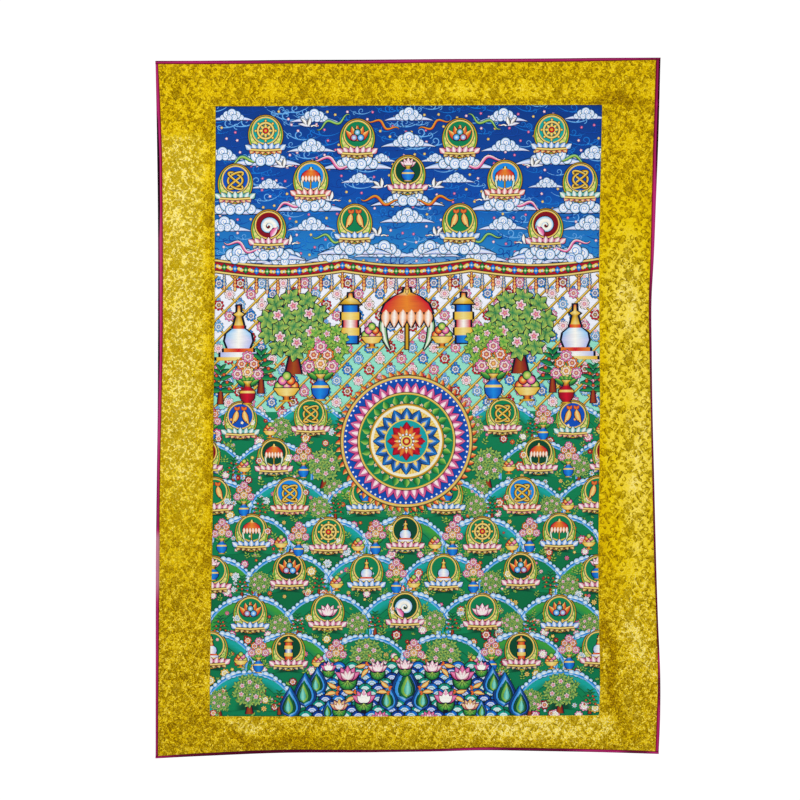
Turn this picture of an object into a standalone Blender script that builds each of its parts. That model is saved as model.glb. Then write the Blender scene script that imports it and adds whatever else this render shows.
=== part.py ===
"""A hung thangka: a woven picture, framed in strips of gold brocade and bound in satin.

Blender units are metres, +Z is up and the front of the cloth faces -Y. The origin is the
middle of the top edge, by which the cloth hangs. The tables and sizes below are in
millimetres: "across" runs to the right of the middle, "down" runs down from the top
edge, and "forward" runs towards the viewer.
"""

import bmesh
import bpy
import numpy as np

MM = 0.001  # one millimetre in metres

# Cloth thicknesses
PANEL_THICK = 1.2
BROCADE_THICK = 1.5
BINDING_THICK = 2.6
BINDING_ROUND = 1.0  # radius of the binding's rolled edges

# How the pieces meet
GAP = 0.3  # between neighbouring solids
MARGIN = 7.0  # picture cloth hidden under the brocade
LAP_FLAT = 9.5  # the brocade lies over the picture's margin this far out
LAP_FOOT = 17.0  # and is back at its own level here
LAP_RISE = BROCADE_THICK  # which puts the brocade's back just in front of the picture
BINDING_PROUD = 0.7  # the binding stands this far in front of the brocade

# Where a line's own height or place across is read, to look up the edges that it crosses
MIDDLE_ACROSS = 0.0
MIDDLE_DOWN = 500.0

# Cells in the grids
STRIP_CELLS = 5
PICTURE_CELLS_ACROSS = 18
PICTURE_CELLS_DOWN = 32

# The upright edges, a row for each height at which they change
SIDE_COLUMNS = ("down", "left", "left_bead", "picture_left", "picture_right", "right_bead", "right")
SIDE_SECTIONS = (
    (0, -374.2, 3.8, -285.2, 287.0, 6.8, 373.3),
    (67, -372.7, 5.8, -285.0, 286.7, 7.2, 371.3),
    (130, -371.5, 7.3, -284.8, 285.2, 7.5, 369.4),
    (200, -370.4, 7.2, -286.0, 283.8, 6.6, 367.2),
    (290, -369.9, 7.5, -286.1, 282.2, 5.2, 364.3),
    (356, -370.0, 7.4, -286.2, 282.2, 4.2, 361.0),
    (430, -370.3, 7.2, -287.0, 283.0, 3.6, 361.3),
    (520, -370.9, 5.7, -288.0, 283.3, 2.8, 362.2),
    (620, -372.5, 4.8, -288.8, 282.3, 2.9, 364.2),
    (740, -374.0, 5.4, -290.2, 280.8, 3.0, 366.8),
    (830, -374.1, 5.0, -292.0, 282.0, 2.6, 369.5),
    (918, -374.0, 4.4, -293.4, 283.4, 3.8, 372.6),
    (971, -374.1, 3.9, -293.5, 282.3, 5.2, 372.6),
    (1030, -374.7, 3.7, -293.6, 281.5, 5.2, 370.9),
)

# The level edges, a row for each place along them
HEM_COLUMNS = ("across", "top", "top_bead", "picture_top", "picture_bottom", "bottom_bead", "bottom")
HEM_SECTIONS = (
    (-374, 1.7, 4.9, 69.4, 971.4, 3.4, 1034.9),
    (-308, 1.4, 5.2, 69.3, 971.4, 4.4, 1031.5),
    (-190, 0.5, 5.6, 69.0, 971.2, 4.8, 1025.9),
    (-42, -0.2, 6.1, 68.4, 970.9, 3.9, 1024.9),
    (47, -1.0, 5.7, 68.1, 970.6, 3.9, 1023.5),
    (106, -1.2, 5.6, 67.8, 970.4, 4.8, 1021.9),
    (195, -1.8, 5.5, 67.5, 970.1, 4.6, 1023.1),
    (284, -2.8, 5.0, 67.1, 969.8, 4.6, 1025.0),
    (373, -3.2, 3.4, 66.8, 969.6, 4.0, 1028.2),
)

# The folds. Each is a soft ridge (forward above 0) or trough (below 0) about a middle point;
# lean is the turn of its line, in degrees, from straight down towards the right.
FOLD_COLUMNS = ("across", "down", "lean", "length", "width", "forward")
HANG_FOLDS = (
    (0, 560, 0, 520, 300, 5.0),  # the whole cloth bellies a little
    (365, 395, 0, 210, 48, -10.0),  # right edge turned back at mid height
    (372, 120, 0, 80, 45, 4.5),  # right edge curling forward above it
    (372, 915, 0, 70, 42, 4.0),  # and below it
    (-372, 260, 0, 190, 42, 5.0),  # left edge curling forward
    (-372, 720, 0, 170, 42, -4.0),  # left edge turned back lower down
    (-345, 1030, 90, 110, 45, -6.0),  # lower left corner swung back
    (370, 1030, 0, 40, 60, -4.0),  # lower right corner
    (-120, 1000, 90, 130, 20, 3.0),  # bottom border bulging, left
    (110, 998, 90, 120, 18, 3.0),  # bottom border bulging, right
    (30, 1030, 90, 260, 16, -3.0),  # hem tucked under the bulges
    (-150, 480, 3, 420, 55, 2.2),  # upright ripples of the picture
    (5, 600, -2, 420, 50, -2.0),
    (165, 470, 1, 420, 55, 2.2),
)
PUCKERS = (
    (-322, 108, 90, 42, 9, 1.4),  # sharp storage fold across the left strip
    (-330, 918, 90, 40, 9, -1.4),  # and the lower one
    (-256, 998, 49, 30, 9, -2.4),  # slanting dent at the lower left
    (-236, 992, 49, 28, 10, 2.0),
    (298, 900, 7, 60, 9, -2.6),  # pleat beside the picture, lower right
    (338, 866, 13, 90, 14, 2.4),  # ridge beside the pleat
    (329, 988, 46, 26, 11, -2.8),  # crumple in the lower right corner
    (345, 1003, 46, 24, 11, 2.0),
    (300, 44, 55, 22, 11, -1.6),  # dent at the upper right seam
)


def columns(names, rows):
    """The rows of a table as one array for each named column."""
    return dict(zip(names, np.array(rows, float).T))


def curve_through(stations, values, at):
    """A smooth curve through the values: cubic pieces whose slopes come from their neighbours."""
    slopes = np.gradient(values, stations)
    first = np.clip(np.searchsorted(stations, at) - 1, 0, len(stations) - 2)
    span = stations[first + 1] - stations[first]
    t = np.clip((at - stations[first]) / span, 0, 1)
    start = values[first] * (2 * t**3 - 3 * t**2 + 1) + slopes[first] * span * (t**3 - 2 * t**2 + t)
    end = values[first + 1] * (3 * t**2 - 2 * t**3) + slopes[first + 1] * span * (t**3 - t**2)
    return start + end


def side_edges(down):
    """The upright edges at these heights; a seam is where brocade and binding meet."""
    table = columns(SIDE_COLUMNS, SIDE_SECTIONS)
    edges = {name: curve_through(table["down"], table[name], down) for name in SIDE_COLUMNS[1:]}
    edges["left_seam"] = edges["left"] + edges["left_bead"]
    edges["right_seam"] = edges["right"] - edges["right_bead"]
    return edges


def hem_edges(across):
    """The level edges at these places across."""
    table = columns(HEM_COLUMNS, HEM_SECTIONS)
    edges = {name: curve_through(table["across"], table[name], across) for name in HEM_COLUMNS[1:]}
    edges["top_seam"] = edges["top"] + edges["top_bead"]
    edges["bottom_seam"] = edges["bottom"] - edges["bottom_bead"]
    return edges


def spread(start, end, cells):
    """Grid lines evenly spaced from one (edge, offset) to another."""
    return [(start, end, step / cells) for step in range(cells + 1)]


def line_at(edge, offset=0):
    """A single grid line along an edge."""
    return [((edge, offset), (edge, offset), 0)]


def place(line, edges):
    """Where a grid line lies, given the edges that it runs between."""
    (first, first_offset), (last, last_offset), share = line
    return (1 - share) * (edges[first] + first_offset) + share * (edges[last] + last_offset)


def grid_points(across_lines, down_lines):
    """The places (across, down) at which the lines cross, as two arrays."""
    heights = np.array([place(line, hem_edges(MIDDLE_ACROSS)) for line in down_lines])
    widths = np.array([place(line, side_edges(MIDDLE_DOWN)) for line in across_lines])
    across = np.stack([place(line, side_edges(heights)) for line in across_lines], axis=1)
    down = np.stack([place(line, hem_edges(widths)) for line in down_lines], axis=0)
    return across, down


def fold_height(folds, across, down):
    """The sum of forward * exp(-(along / length)^2 - (aside / width)^2) over the folds."""
    height = np.zeros_like(across)
    for row in folds:
        fold = dict(zip(FOLD_COLUMNS, row))
        turn = np.radians(fold["lean"])
        right, below = across - fold["across"], down - fold["down"]
        along = (right * np.sin(turn) + below * np.cos(turn)) / fold["length"]
        aside = (right * np.cos(turn) - below * np.sin(turn)) / fold["width"]
        height += fold["forward"] * np.exp(-(along**2) - aside**2)
    return height


def panel_front(across, down):
    """The picture cloth follows the hanging folds only."""
    return fold_height(HANG_FOLDS, across, down)


def brocade_front(across, down):
    """The brocade adds its puckers, and rises where it laps over the picture's margin."""
    sides, hems = side_edges(down), hem_edges(across)
    beside = np.maximum(sides["picture_left"] - across, across - sides["picture_right"])
    beyond = np.maximum(hems["picture_top"] - down, down - hems["picture_bottom"])
    outside = np.clip(np.maximum(beside, beyond), 0, None)
    lap = np.clip((LAP_FOOT - outside) / (LAP_FOOT - LAP_FLAT), 0, 1)
    puckers = (1 - lap) * fold_height(PUCKERS, across, down)
    return fold_height(HANG_FOLDS, across, down) + puckers + GAP + lap * LAP_RISE


def binding_front(across, down):
    """The binding is a bead that stands proud of the brocade."""
    return brocade_front(across, down) + BINDING_PROUD


def material(name, color, roughness, sheen):
    made = bpy.data.materials.new(name)
    made.use_nodes = True
    shader = made.node_tree.nodes["Principled BSDF"]
    shader.inputs["Base Color"].default_value = (*color, 1)
    shader.inputs["Roughness"].default_value = roughness
    shader.inputs["Metallic"].default_value = 0
    shader.inputs["Sheen Weight"].default_value = sheen
    return made


def cloth(name, across_lines, down_lines, front, thickness, surface, round_edges=0):
    """A sheet over the crossing lines, its front at front(across, down) and its thickness behind."""
    across, down = grid_points(across_lines, down_lines)
    forward = front(across, down)
    cells_across, cells_down = len(across_lines) - 1, len(down_lines) - 1

    grid = bmesh.new()
    bmesh.ops.create_grid(grid, x_segments=cells_across, y_segments=cells_down, size=0.5)
    mesh = bpy.data.meshes.new(name)
    grid.to_mesh(mesh)
    grid.free()

    flat = np.empty(len(mesh.vertices) * 3)
    mesh.vertices.foreach_get("co", flat)
    flat = flat.reshape(-1, 3)
    column = np.rint((flat[:, 0] + 0.5) * cells_across).astype(int)
    row = np.rint((0.5 - flat[:, 1]) * cells_down).astype(int)
    hung = np.stack([across[row, column], -forward[row, column], -down[row, column]], axis=1)
    mesh.vertices.foreach_set("co", (hung * MM).ravel())
    mesh.update()
    mesh.shade_smooth()
    mesh.materials.append(surface)

    piece = bpy.data.objects.new(name, mesh)
    solidify = piece.modifiers.new("thickness", "SOLIDIFY")
    solidify.thickness = thickness * MM
    solidify.offset = -1
    solidify.use_even_offset = True
    if round_edges:
        bevel = piece.modifiers.new("rolled edge", "BEVEL")
        bevel.width = round_edges * MM
        bevel.segments = 1
        bevel.limit_method = "ANGLE"
    bpy.data.collections["thangka"].objects.link(piece)


def clear_scene():
    for old in list(bpy.data.objects):
        bpy.data.objects.remove(old, do_unlink=True)
    bpy.context.scene.collection.children.link(bpy.data.collections.new("thangka"))


def picture():
    weave = material("picture weave", (0.05, 0.25, 0.45), 0.7, 0.1)
    cloth(
        "picture_panel",
        line_at("picture_left", -MARGIN)
        + spread(("picture_left", 0), ("picture_right", 0), PICTURE_CELLS_ACROSS)
        + line_at("picture_right", MARGIN),
        line_at("picture_top", -MARGIN)
        + spread(("picture_top", 0), ("picture_bottom", 0), PICTURE_CELLS_DOWN)
        + line_at("picture_bottom", MARGIN),
        panel_front,
        PANEL_THICK,
        weave,
    )


def strip_lines():
    """The lines of the whole cloth: through the left strip, the picture and the right strip,
    and through the top strip, beside the picture and the bottom strip."""
    left = spread(("left_seam", GAP), ("picture_left", -LAP_FOOT), STRIP_CELLS)
    left += spread(("picture_left", -LAP_FLAT), ("picture_left", 0), 1)
    middle = spread(("picture_left", 0), ("picture_right", 0), PICTURE_CELLS_ACROSS)[1:-1]
    right = spread(("picture_right", 0), ("picture_right", LAP_FLAT), 1)
    right += spread(("picture_right", LAP_FOOT), ("right_seam", -GAP), STRIP_CELLS)
    top = spread(("top_seam", GAP), ("picture_top", -LAP_FOOT), STRIP_CELLS - 1)
    top += spread(("picture_top", -LAP_FLAT), ("picture_top", 0), 1)
    beside = spread(("picture_top", GAP), ("picture_bottom", -GAP), PICTURE_CELLS_DOWN)
    bottom = spread(("picture_bottom", 0), ("picture_bottom", LAP_FLAT), 1)
    bottom += spread(("picture_bottom", LAP_FOOT), ("bottom_seam", -GAP), STRIP_CELLS - 1)
    return (left, middle, right), (top, beside, bottom)


def brocade():
    """Four strips: the top and bottom ones run the full width, the side ones fit between."""
    gold = material("gold brocade", (0.62, 0.42, 0.02), 0.5, 0.2)
    (left, middle, right), (top, beside, bottom) = strip_lines()
    strips = {
        "brocade_top": (left + middle + right, top),
        "brocade_bottom": (left + middle + right, bottom),
        "brocade_left": (left, beside),
        "brocade_right": (right, beside),
    }
    for name, (across_lines, down_lines) in strips.items():
        cloth(name, across_lines, down_lines, brocade_front, BROCADE_THICK, gold)


def binding():
    """A satin bead along each edge: top and bottom full width, the sides butted between them."""
    satin = material("magenta satin", (0.36, 0.01, 0.12), 0.4, 0.3)
    (left, middle, right), (top, beside, bottom) = strip_lines()
    full_width = line_at("left") + left + middle + right + line_at("right")
    full_height = top + beside[1:-1] + bottom
    beads = {
        "binding_top": (full_width, spread(("top", 0), ("top_seam", 0), 1)),
        "binding_bottom": (full_width, spread(("bottom_seam", 0), ("bottom", 0), 1)),
        "binding_left": (spread(("left", 0), ("left_seam", 0), 1), full_height),
        "binding_right": (spread(("right_seam", 0), ("right", 0), 1), full_height),
    }
    for name, (across_lines, down_lines) in beads.items():
        cloth(name, across_lines, down_lines, binding_front, BINDING_THICK, satin, BINDING_ROUND)


clear_scene()
picture()
brocade()
binding()
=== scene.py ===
import bpy
import numpy as np
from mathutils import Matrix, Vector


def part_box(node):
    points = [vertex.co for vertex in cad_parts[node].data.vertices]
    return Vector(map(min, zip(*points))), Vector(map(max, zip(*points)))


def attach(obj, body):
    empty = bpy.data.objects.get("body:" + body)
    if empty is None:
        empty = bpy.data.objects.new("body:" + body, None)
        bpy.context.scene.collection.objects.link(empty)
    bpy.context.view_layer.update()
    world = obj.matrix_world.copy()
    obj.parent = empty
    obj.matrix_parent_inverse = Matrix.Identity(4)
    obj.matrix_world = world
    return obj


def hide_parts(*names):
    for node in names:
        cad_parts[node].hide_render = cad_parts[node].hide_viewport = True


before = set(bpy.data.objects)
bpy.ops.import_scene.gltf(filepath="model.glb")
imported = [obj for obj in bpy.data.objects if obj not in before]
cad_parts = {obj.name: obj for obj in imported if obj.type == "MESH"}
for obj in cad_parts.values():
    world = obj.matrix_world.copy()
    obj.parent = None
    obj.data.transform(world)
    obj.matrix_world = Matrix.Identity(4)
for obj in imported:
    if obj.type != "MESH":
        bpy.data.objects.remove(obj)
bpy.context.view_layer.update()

# A hung thangka. "Across" runs to the right of the middle of the cloth, "down" runs down from its
# top edge and "forward" runs towards the viewer, all in millimetres. A mesh is in metres, with
# across on +X, down on -Z and forward on -Y.
MM = 0.001

# Cloth thicknesses and how the pieces meet, as in the solids
PANEL_THICK = 1.0
BROCADE_THICK = 1.4
GAP = 0.3
MARGIN = 7.0
LAP_FLAT = 9.5
LAP_FOOT = 17.0
LAP_RISE = 1.5
LEFT_SEAM_DEPTH = 0.3  # the seams beside the picture hardly show on the left

SIDE_COLUMNS = ("down", "left", "left_bead", "picture_left", "picture_right", "right_bead", "right")
SIDE_SECTIONS = (
    (0, -374.2, 3.8, -285.2, 287.0, 6.8, 373.3),
    (67, -372.7, 5.8, -285.0, 286.7, 7.2, 371.3),
    (130, -371.5, 7.3, -284.8, 285.2, 7.5, 369.4),
    (200, -370.4, 7.2, -286.0, 283.8, 6.6, 367.2),
    (290, -369.9, 7.5, -286.1, 282.2, 5.2, 364.3),
    (356, -370.0, 7.4, -286.2, 282.2, 4.2, 361.0),
    (430, -370.3, 7.2, -287.0, 283.0, 3.6, 361.3),
    (520, -370.9, 5.7, -288.0, 283.3, 2.8, 362.2),
    (620, -372.5, 4.8, -288.8, 282.3, 2.9, 364.2),
    (740, -374.0, 5.4, -290.2, 280.8, 3.0, 366.8),
    (830, -374.1, 5.0, -292.0, 282.0, 2.6, 369.5),
    (918, -374.0, 4.4, -293.4, 283.4, 3.8, 372.6),
    (971, -374.1, 3.9, -293.5, 282.3, 5.2, 372.6),
    (1030, -374.7, 3.7, -293.6, 281.5, 5.2, 370.9),
)
HEM_COLUMNS = ("across", "top", "top_bead", "picture_top", "picture_bottom", "bottom_bead", "bottom")
HEM_SECTIONS = (
    (-374, 1.7, 4.9, 69.4, 971.4, 3.4, 1034.9),
    (-308, 1.4, 5.2, 69.3, 971.4, 4.4, 1031.5),
    (-190, 0.5, 5.6, 69.0, 971.2, 4.8, 1025.9),
    (-42, -0.2, 6.1, 68.4, 970.9, 3.9, 1024.9),
    (47, -1.0, 5.7, 68.1, 970.6, 3.9, 1023.5),
    (106, -1.2, 5.6, 67.8, 970.4, 4.8, 1021.9),
    (195, -1.8, 5.5, 67.5, 970.1, 4.6, 1023.1),
    (284, -2.8, 5.0, 67.1, 969.8, 4.6, 1025.0),
    (373, -3.2, 3.4, 66.8, 969.6, 4.0, 1028.2),
)

# Folds: soft ridges (forward above 0) and troughs (below 0) about a middle point; lean is the
# turn of the fold's line, in degrees, from straight down towards the right
FOLD_COLUMNS = ("across", "down", "lean", "length", "width", "forward")
HANG_FOLDS = (
    (0, 560, 0, 520, 300, 5.0),
    (365, 395, 0, 210, 48, -10.0),
    (372, 120, 0, 80, 45, 4.5),
    (372, 915, 0, 70, 42, 4.0),
    (-372, 260, 0, 190, 42, 5.0),
    (-372, 720, 0, 170, 42, -4.0),
    (-345, 1030, 90, 110, 45, -6.0),
    (370, 1030, 0, 40, 60, -4.0),
    (-120, 1000, 90, 130, 20, 3.0),
    (110, 998, 90, 120, 18, 3.0),
    (30, 1030, 90, 260, 16, -3.0),
    (-150, 480, 3, 420, 55, 2.2),
    (5, 600, -2, 420, 50, -2.0),
    (165, 470, 1, 420, 55, 2.2),
)
PUCKERS = (
    (-322, 108, 90, 42, 9, 1.4),
    (-330, 918, 90, 40, 9, -1.4),
    (-256, 998, 49, 30, 9, -2.4),
    (-236, 992, 49, 28, 10, 2.0),
    (298, 900, 7, 60, 9, -2.6),
    (338, 866, 13, 90, 14, 2.4),
    (329, 988, 46, 26, 11, -2.8),
    (345, 1003, 46, 24, 11, 2.0),
    (300, 44, 55, 22, 11, -1.6),
)
# Finer creases of the brocade, which the solids leave out, in the same columns
CREASES = (
    (-325, 110, 90, 38, 2.4, 0.9),
    (-325, 115, 88, 34, 2.6, -0.8),
    (-352, 104, 35, 12, 3.0, -1.0),
    (-338, 99, -20, 10, 3.0, -0.8),
    (-345, 919, 90, 26, 2.4, -0.9),
    (-338, 910, -35, 10, 3.0, 0.9),
    (-327, 908, 35, 10, 3.0, 0.8),
    (290, 880, 4, 42, 2.6, 1.5),
    (296, 896, 6, 40, 2.6, -1.4),
    (303, 934, 12, 34, 3.2, -1.5),
    (311, 908, 18, 20, 3.0, 0.9),
    (296, 842, -4, 22, 3.4, -1.2),
    (318, 952, 28, 22, 4.0, -1.2),
    (333, 975, 58, 16, 4.0, -1.3),
    (288, 58, 62, 12, 3.2, -1.1),
    (296, 66, 30, 9, 3.0, 0.9),
    (-345, 968, 78, 16, 3.0, -1.0),
    (-330, 976, 60, 12, 3.0, 0.8),
    (346, 975, 82, 14, 3.0, -1.1),
    (-310, 1005, 8, 18, 7.0, -1.0),
    (-160, 1002, 20, 20, 8.0, -1.0),
    (180, 1004, -12, 22, 9.0, -1.0),
)


def columns(names, rows):
    """The rows of a table as one array for each named column."""
    return dict(zip(names, np.array(rows, float).T))


def curve_through(stations, values, at):
    """A smooth curve through the values: cubic pieces whose slopes come from their neighbours."""
    slopes = np.gradient(values, stations)
    first = np.clip(np.searchsorted(stations, at) - 1, 0, len(stations) - 2)
    span = stations[first + 1] - stations[first]
    t = np.clip((at - stations[first]) / span, 0, 1)
    start = values[first] * (2 * t**3 - 3 * t**2 + 1) + slopes[first] * span * (t**3 - 2 * t**2 + t)
    end = values[first + 1] * (3 * t**2 - 2 * t**3) + slopes[first + 1] * span * (t**3 - t**2)
    return start + end


SIDES = columns(SIDE_COLUMNS, SIDE_SECTIONS)
HEMS = columns(HEM_COLUMNS, HEM_SECTIONS)


def side_edge(name, down):
    """An upright edge's place across at these heights; a seam is where brocade and binding meet."""
    if name == "left_seam":
        return side_edge("left", down) + side_edge("left_bead", down)
    if name == "right_seam":
        return side_edge("right", down) - side_edge("right_bead", down)
    return curve_through(SIDES["down"], SIDES[name], down)


def hem_edge(name, across):
    """A level edge's height at these places across."""
    if name == "top_seam":
        return hem_edge("top", across) + hem_edge("top_bead", across)
    if name == "bottom_seam":
        return hem_edge("bottom", across) - hem_edge("bottom_bead", across)
    return curve_through(HEMS["across"], HEMS[name], across)


def fold_height(folds, across, down):
    """The sum of forward * exp(-(along / length)^2 - (aside / width)^2) over the folds."""
    height = np.zeros(np.broadcast(across, down).shape)
    for row in folds:
        fold = dict(zip(FOLD_COLUMNS, row))
        turn = np.radians(fold["lean"])
        right, below = across - fold["across"], down - fold["down"]
        along = (right * np.sin(turn) + below * np.cos(turn)) / fold["length"]
        aside = (right * np.cos(turn) - below * np.sin(turn)) / fold["width"]
        height += fold["forward"] * np.exp(-(along**2) - aside**2)
    return height


def ripple(across, down, wave):
    """Gentle unevenness between -1 and 1: three crossing sine waves of about this wavelength."""
    first = np.sin((0.83 * across + 0.61 * down) * 2 * np.pi / wave)
    second = np.sin((0.47 * across - 0.92 * down) * 2 * np.pi / (1.37 * wave) + 1.3)
    third = np.sin((1.12 * across + 0.19 * down) * 2 * np.pi / (0.81 * wave) + 4.1)
    return (first + second + third) / 3


def picture_front(across, down):
    """The picture cloth follows the hanging folds."""
    return fold_height(HANG_FOLDS, across, down)


def brocade_front(across, down):
    """The hanging folds, puckers and creases, the rise over the picture's margin with its
    turned-under hem and rounded edge, and the dips at the seams and beside the binding."""
    beside = np.maximum(side_edge("picture_left", down) - across, across - side_edge("picture_right", down))
    beyond = np.maximum(hem_edge("picture_top", across) - down, down - hem_edge("picture_bottom", across))
    outside = np.clip(np.maximum(beside, beyond), 0, None)
    rim = np.minimum(across - side_edge("left_seam", down), side_edge("right_seam", down) - across)
    rim = np.minimum(rim, down - hem_edge("top_seam", across))
    rim = np.minimum(rim, hem_edge("bottom_seam", across) - down)
    lap = np.clip((LAP_FOOT - outside) / (LAP_FOOT - LAP_FLAT), 0, 1)
    lap = lap * lap * (3 - 2 * lap)
    hem_step = 0.45 / (1 + np.exp((outside - 8.2) / 0.5))
    edge_turn = np.clip(1.3 - outside, 0, 1.3)
    edge_drop = 1.3 - np.sqrt(1.3**2 - edge_turn**2)
    depth = (beside > 0) * np.where(across < 0, LEFT_SEAM_DEPTH, 1.0)
    seam = np.exp(-((beyond / 1.3) ** 2)) * depth
    seam_puckers = 0.35 * np.sin(across / 1.9) * np.exp(-np.abs(beyond) / 6) * depth
    hem_puckers = 0.22 * ripple(across, down, 13) * np.exp(-outside / 9)
    rim_dip = 0.5 * np.exp(-((np.clip(rim, 0, None) / 1.6) ** 2))
    soft = fold_height(PUCKERS + CREASES, across, down) + 0.3 * ripple(across, down, 46)
    return (
        picture_front(across, down) + GAP + lap * LAP_RISE + (1 - lap) * soft
        + hem_step + hem_puckers + seam_puckers - edge_drop - 0.9 * seam - rim_dip
    )


def hung(across, down, forward):
    """Places on the cloth as points in metres."""
    return np.stack([across, -forward, -down], axis=-1).reshape(-1, 3) * MM


def grid_faces(rows, cells_wide):
    """Faces of a grid of rows x cells_wide points, facing the viewer."""
    corner = (np.arange(rows - 1)[:, None] * cells_wide + np.arange(cells_wide - 1)).ravel()
    return np.stack([corner, corner + cells_wide, corner + cells_wide + 1, corner + 1], axis=1)


PALETTE = {
    "ink": "0a1226", "navy": "0a2a70", "royal": "0b4fb8", "azure": "1a8ae0", "sky": "8cc6f2",
    "cloud": "f0f2fc", "lilac": "b4bcec", "emerald": "0a8050", "forest": "04482e", "leaf": "3c9c3c",
    "lime": "b4cc58", "teal": "14a49c", "mint": "94e0c8", "red": "d0102c", "crimson": "84081c",
    "orange": "e8862a", "rust": "a44c18", "gold": "e4b42c", "ochre": "a07414", "straw": "f2de8c",
    "cream": "f2ecd4", "white": "fcfaf2", "pink": "f08cbc", "rose": "cc3a7c",
}
# A motif's tones are numbers in this list; "a", "b" and "c" are chosen where the motif is placed
TONES = ["a", "b", "c"] + list(PALETTE)
INK_STEP = 0.03
INK_BOLD = 1.5
LONGEST_EDGE = 9.0


def tone_numbers(names):
    """The places of these tones in the list."""
    return np.array([TONES.index(name) for name in names])


class Motif:
    """A flat shape of the weave: points (right, up, lift) in mm, their tones, and triangles."""

    def __init__(self, points, tones, faces):
        self.points, self.tones, self.faces = points, tones, faces

    def moved(self, right=0.0, up=0.0, turn=0.0, size=1.0, flip=False, lift=0.0, colours=()):
        """A copy flipped if asked, then scaled, turned by degrees, moved and given its colours."""
        x, y = self.points[:, 0] * (-size if flip else size), self.points[:, 1] * size
        cos, sin = np.cos(np.radians(turn)), np.sin(np.radians(turn))
        points = np.stack(
            [right + x * cos - y * sin, up + x * sin + y * cos, self.points[:, 2] + lift], axis=1
        )
        numbers = np.arange(len(TONES))
        numbers[:len(colours)] = tone_numbers(colours)
        return Motif(points, numbers[self.tones], self.faces)


def joined(motifs):
    """Many motifs as one."""
    starts = np.cumsum([0] + [len(motif.points) for motif in motifs[:-1]])
    return Motif(
        np.concatenate([motif.points for motif in motifs]),
        np.concatenate([motif.tones for motif in motifs]),
        np.concatenate([motif.faces + start for motif, start in zip(motifs, starts)]),
    )


def grid_motif(right, up, lift, tone):
    """A grid of points, each cell of it two triangles, without those of no size."""
    right, up, lift, tone = np.broadcast_arrays(right, up, lift, tone)
    points = np.stack([right, up, lift], axis=-1).reshape(-1, 3).astype(float)
    quads = grid_faces(*right.shape)
    faces = np.concatenate([quads[:, :3], quads[:, [0, 2, 3]]])
    first, second = points[faces[:, 1]] - points[faces[:, 0]], points[faces[:, 2]] - points[faces[:, 0]]
    area = first[:, 0] * second[:, 1] - first[:, 1] * second[:, 0]
    return Motif(points, tone.ravel(), faces[np.abs(area) > 0.002])


def ribbon(path, width, tones=("a", "a", "a"), arch=0.08, ink=0.0):
    """A band along a path: half its width to each side of it, along its normal, and highest in
    the middle. The tones run from its first edge to its last. Ink is the width of a dark
    outline."""
    path, width = np.asarray(path, float), np.asarray(width, float)
    along = np.gradient(path, axis=0)
    along /= np.linalg.norm(along, axis=1, keepdims=True)
    side = np.linspace(-1, 1, len(tones))
    offset = side * np.broadcast_to(width, len(path))[:, None] / 2
    right = path[:, :1] - along[:, 1:] * offset
    up = path[:, 1:] + along[:, :1] * offset
    band = grid_motif(right, up, arch * (1 - side**2), tone_numbers(tones))
    if not ink:
        return band
    return joined([ribbon(path, width + 2 * ink * INK_BOLD, ("ink",) * 2, arch).moved(lift=-INK_STEP), band])


def arc(right, up, radius, start, end, steps):
    """A path round (right, up) from the start to the end angle, in degrees. The radius may be a
    pair, and then runs evenly from one to the other."""
    share = np.linspace(0, 1, steps)
    angle = np.radians(start + (end - start) * share)
    size = np.interp(share, (0, 1), np.broadcast_to(radius, 2))
    return np.stack([right + size * np.cos(angle), up + size * np.sin(angle)], axis=1)


def petal(length, width, bend=0.0, tones=("a", "b", "a"), steps=7, fullness=0.8, ink=0.0):
    """A leaf or petal growing up from its root: width * sin(pi * share^fullness), along an arc
    that turns by the bend, in degrees."""
    share = np.linspace(0, 1, steps)
    heading = np.radians(90 + bend * share)
    step = length / (steps - 1) * np.stack([np.cos(heading), np.sin(heading)], axis=1)
    path = np.cumsum(step, axis=0) - step[0]
    return ribbon(path, width * np.sin(np.pi * share**fullness), tones, 0.05, ink)


def rosette(rings, sides=16, lobes=0, dent=0.0, ink=0.0):
    """Rings of (radius, tone) round a middle point. With lobes, each radius is multiplied by
    1 - dent * (1 - sqrt|sin(lobes * angle / 2)|)."""
    radius = np.array([ring[0] for ring in rings])[:, None]
    angle = np.linspace(0, 2 * np.pi, sides + 1)
    edge = 1 - dent * (1 - np.sqrt(np.abs(np.sin(lobes * angle / 2)))) if lobes else np.ones(sides + 1)
    tone = tone_numbers([ring[1] for ring in rings])[:, None]
    shape = grid_motif(radius * edge * np.cos(angle), radius * edge * np.sin(angle), 0.0, tone)
    if not ink:
        return shape
    under = rosette([(0, "ink"), (rings[-1][0] + ink * INK_BOLD, "ink")], sides, lobes, dent)
    return joined([under.moved(lift=-INK_STEP), shape])


def silhouette(rows, ink=0.6):
    """A shape alike on both sides of its middle, from rows of (up, half width, edge tone, middle
    tone), over a dark outline."""
    up = np.array([row[0] for row in rows], float)[:, None]
    half = np.array([row[1] for row in rows], float)[:, None]
    side = np.array([-1, 0, 1])
    tone = np.stack([tone_numbers([row[i] for row in rows]) for i in (2, 3, 2)], axis=1)
    shape = grid_motif(half * side, up, 0.0, tone)
    if not ink:
        return shape
    stretched = up + ink * np.sign(up - up.mean()) * (np.abs(up - up.mean()) >= np.ptp(up) / 2 - 0.01)
    under = grid_motif((half + ink * INK_BOLD) * side, stretched, -INK_STEP, TONES.index("ink"))
    return joined([under, shape])


def around(part, count, radius=0.0, start=0.0):
    """Copies of a part round a middle point, each pointing outwards from the radius."""
    turns = start + np.arange(count) * 360 / count
    return fan(part, turns, radius)


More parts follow.
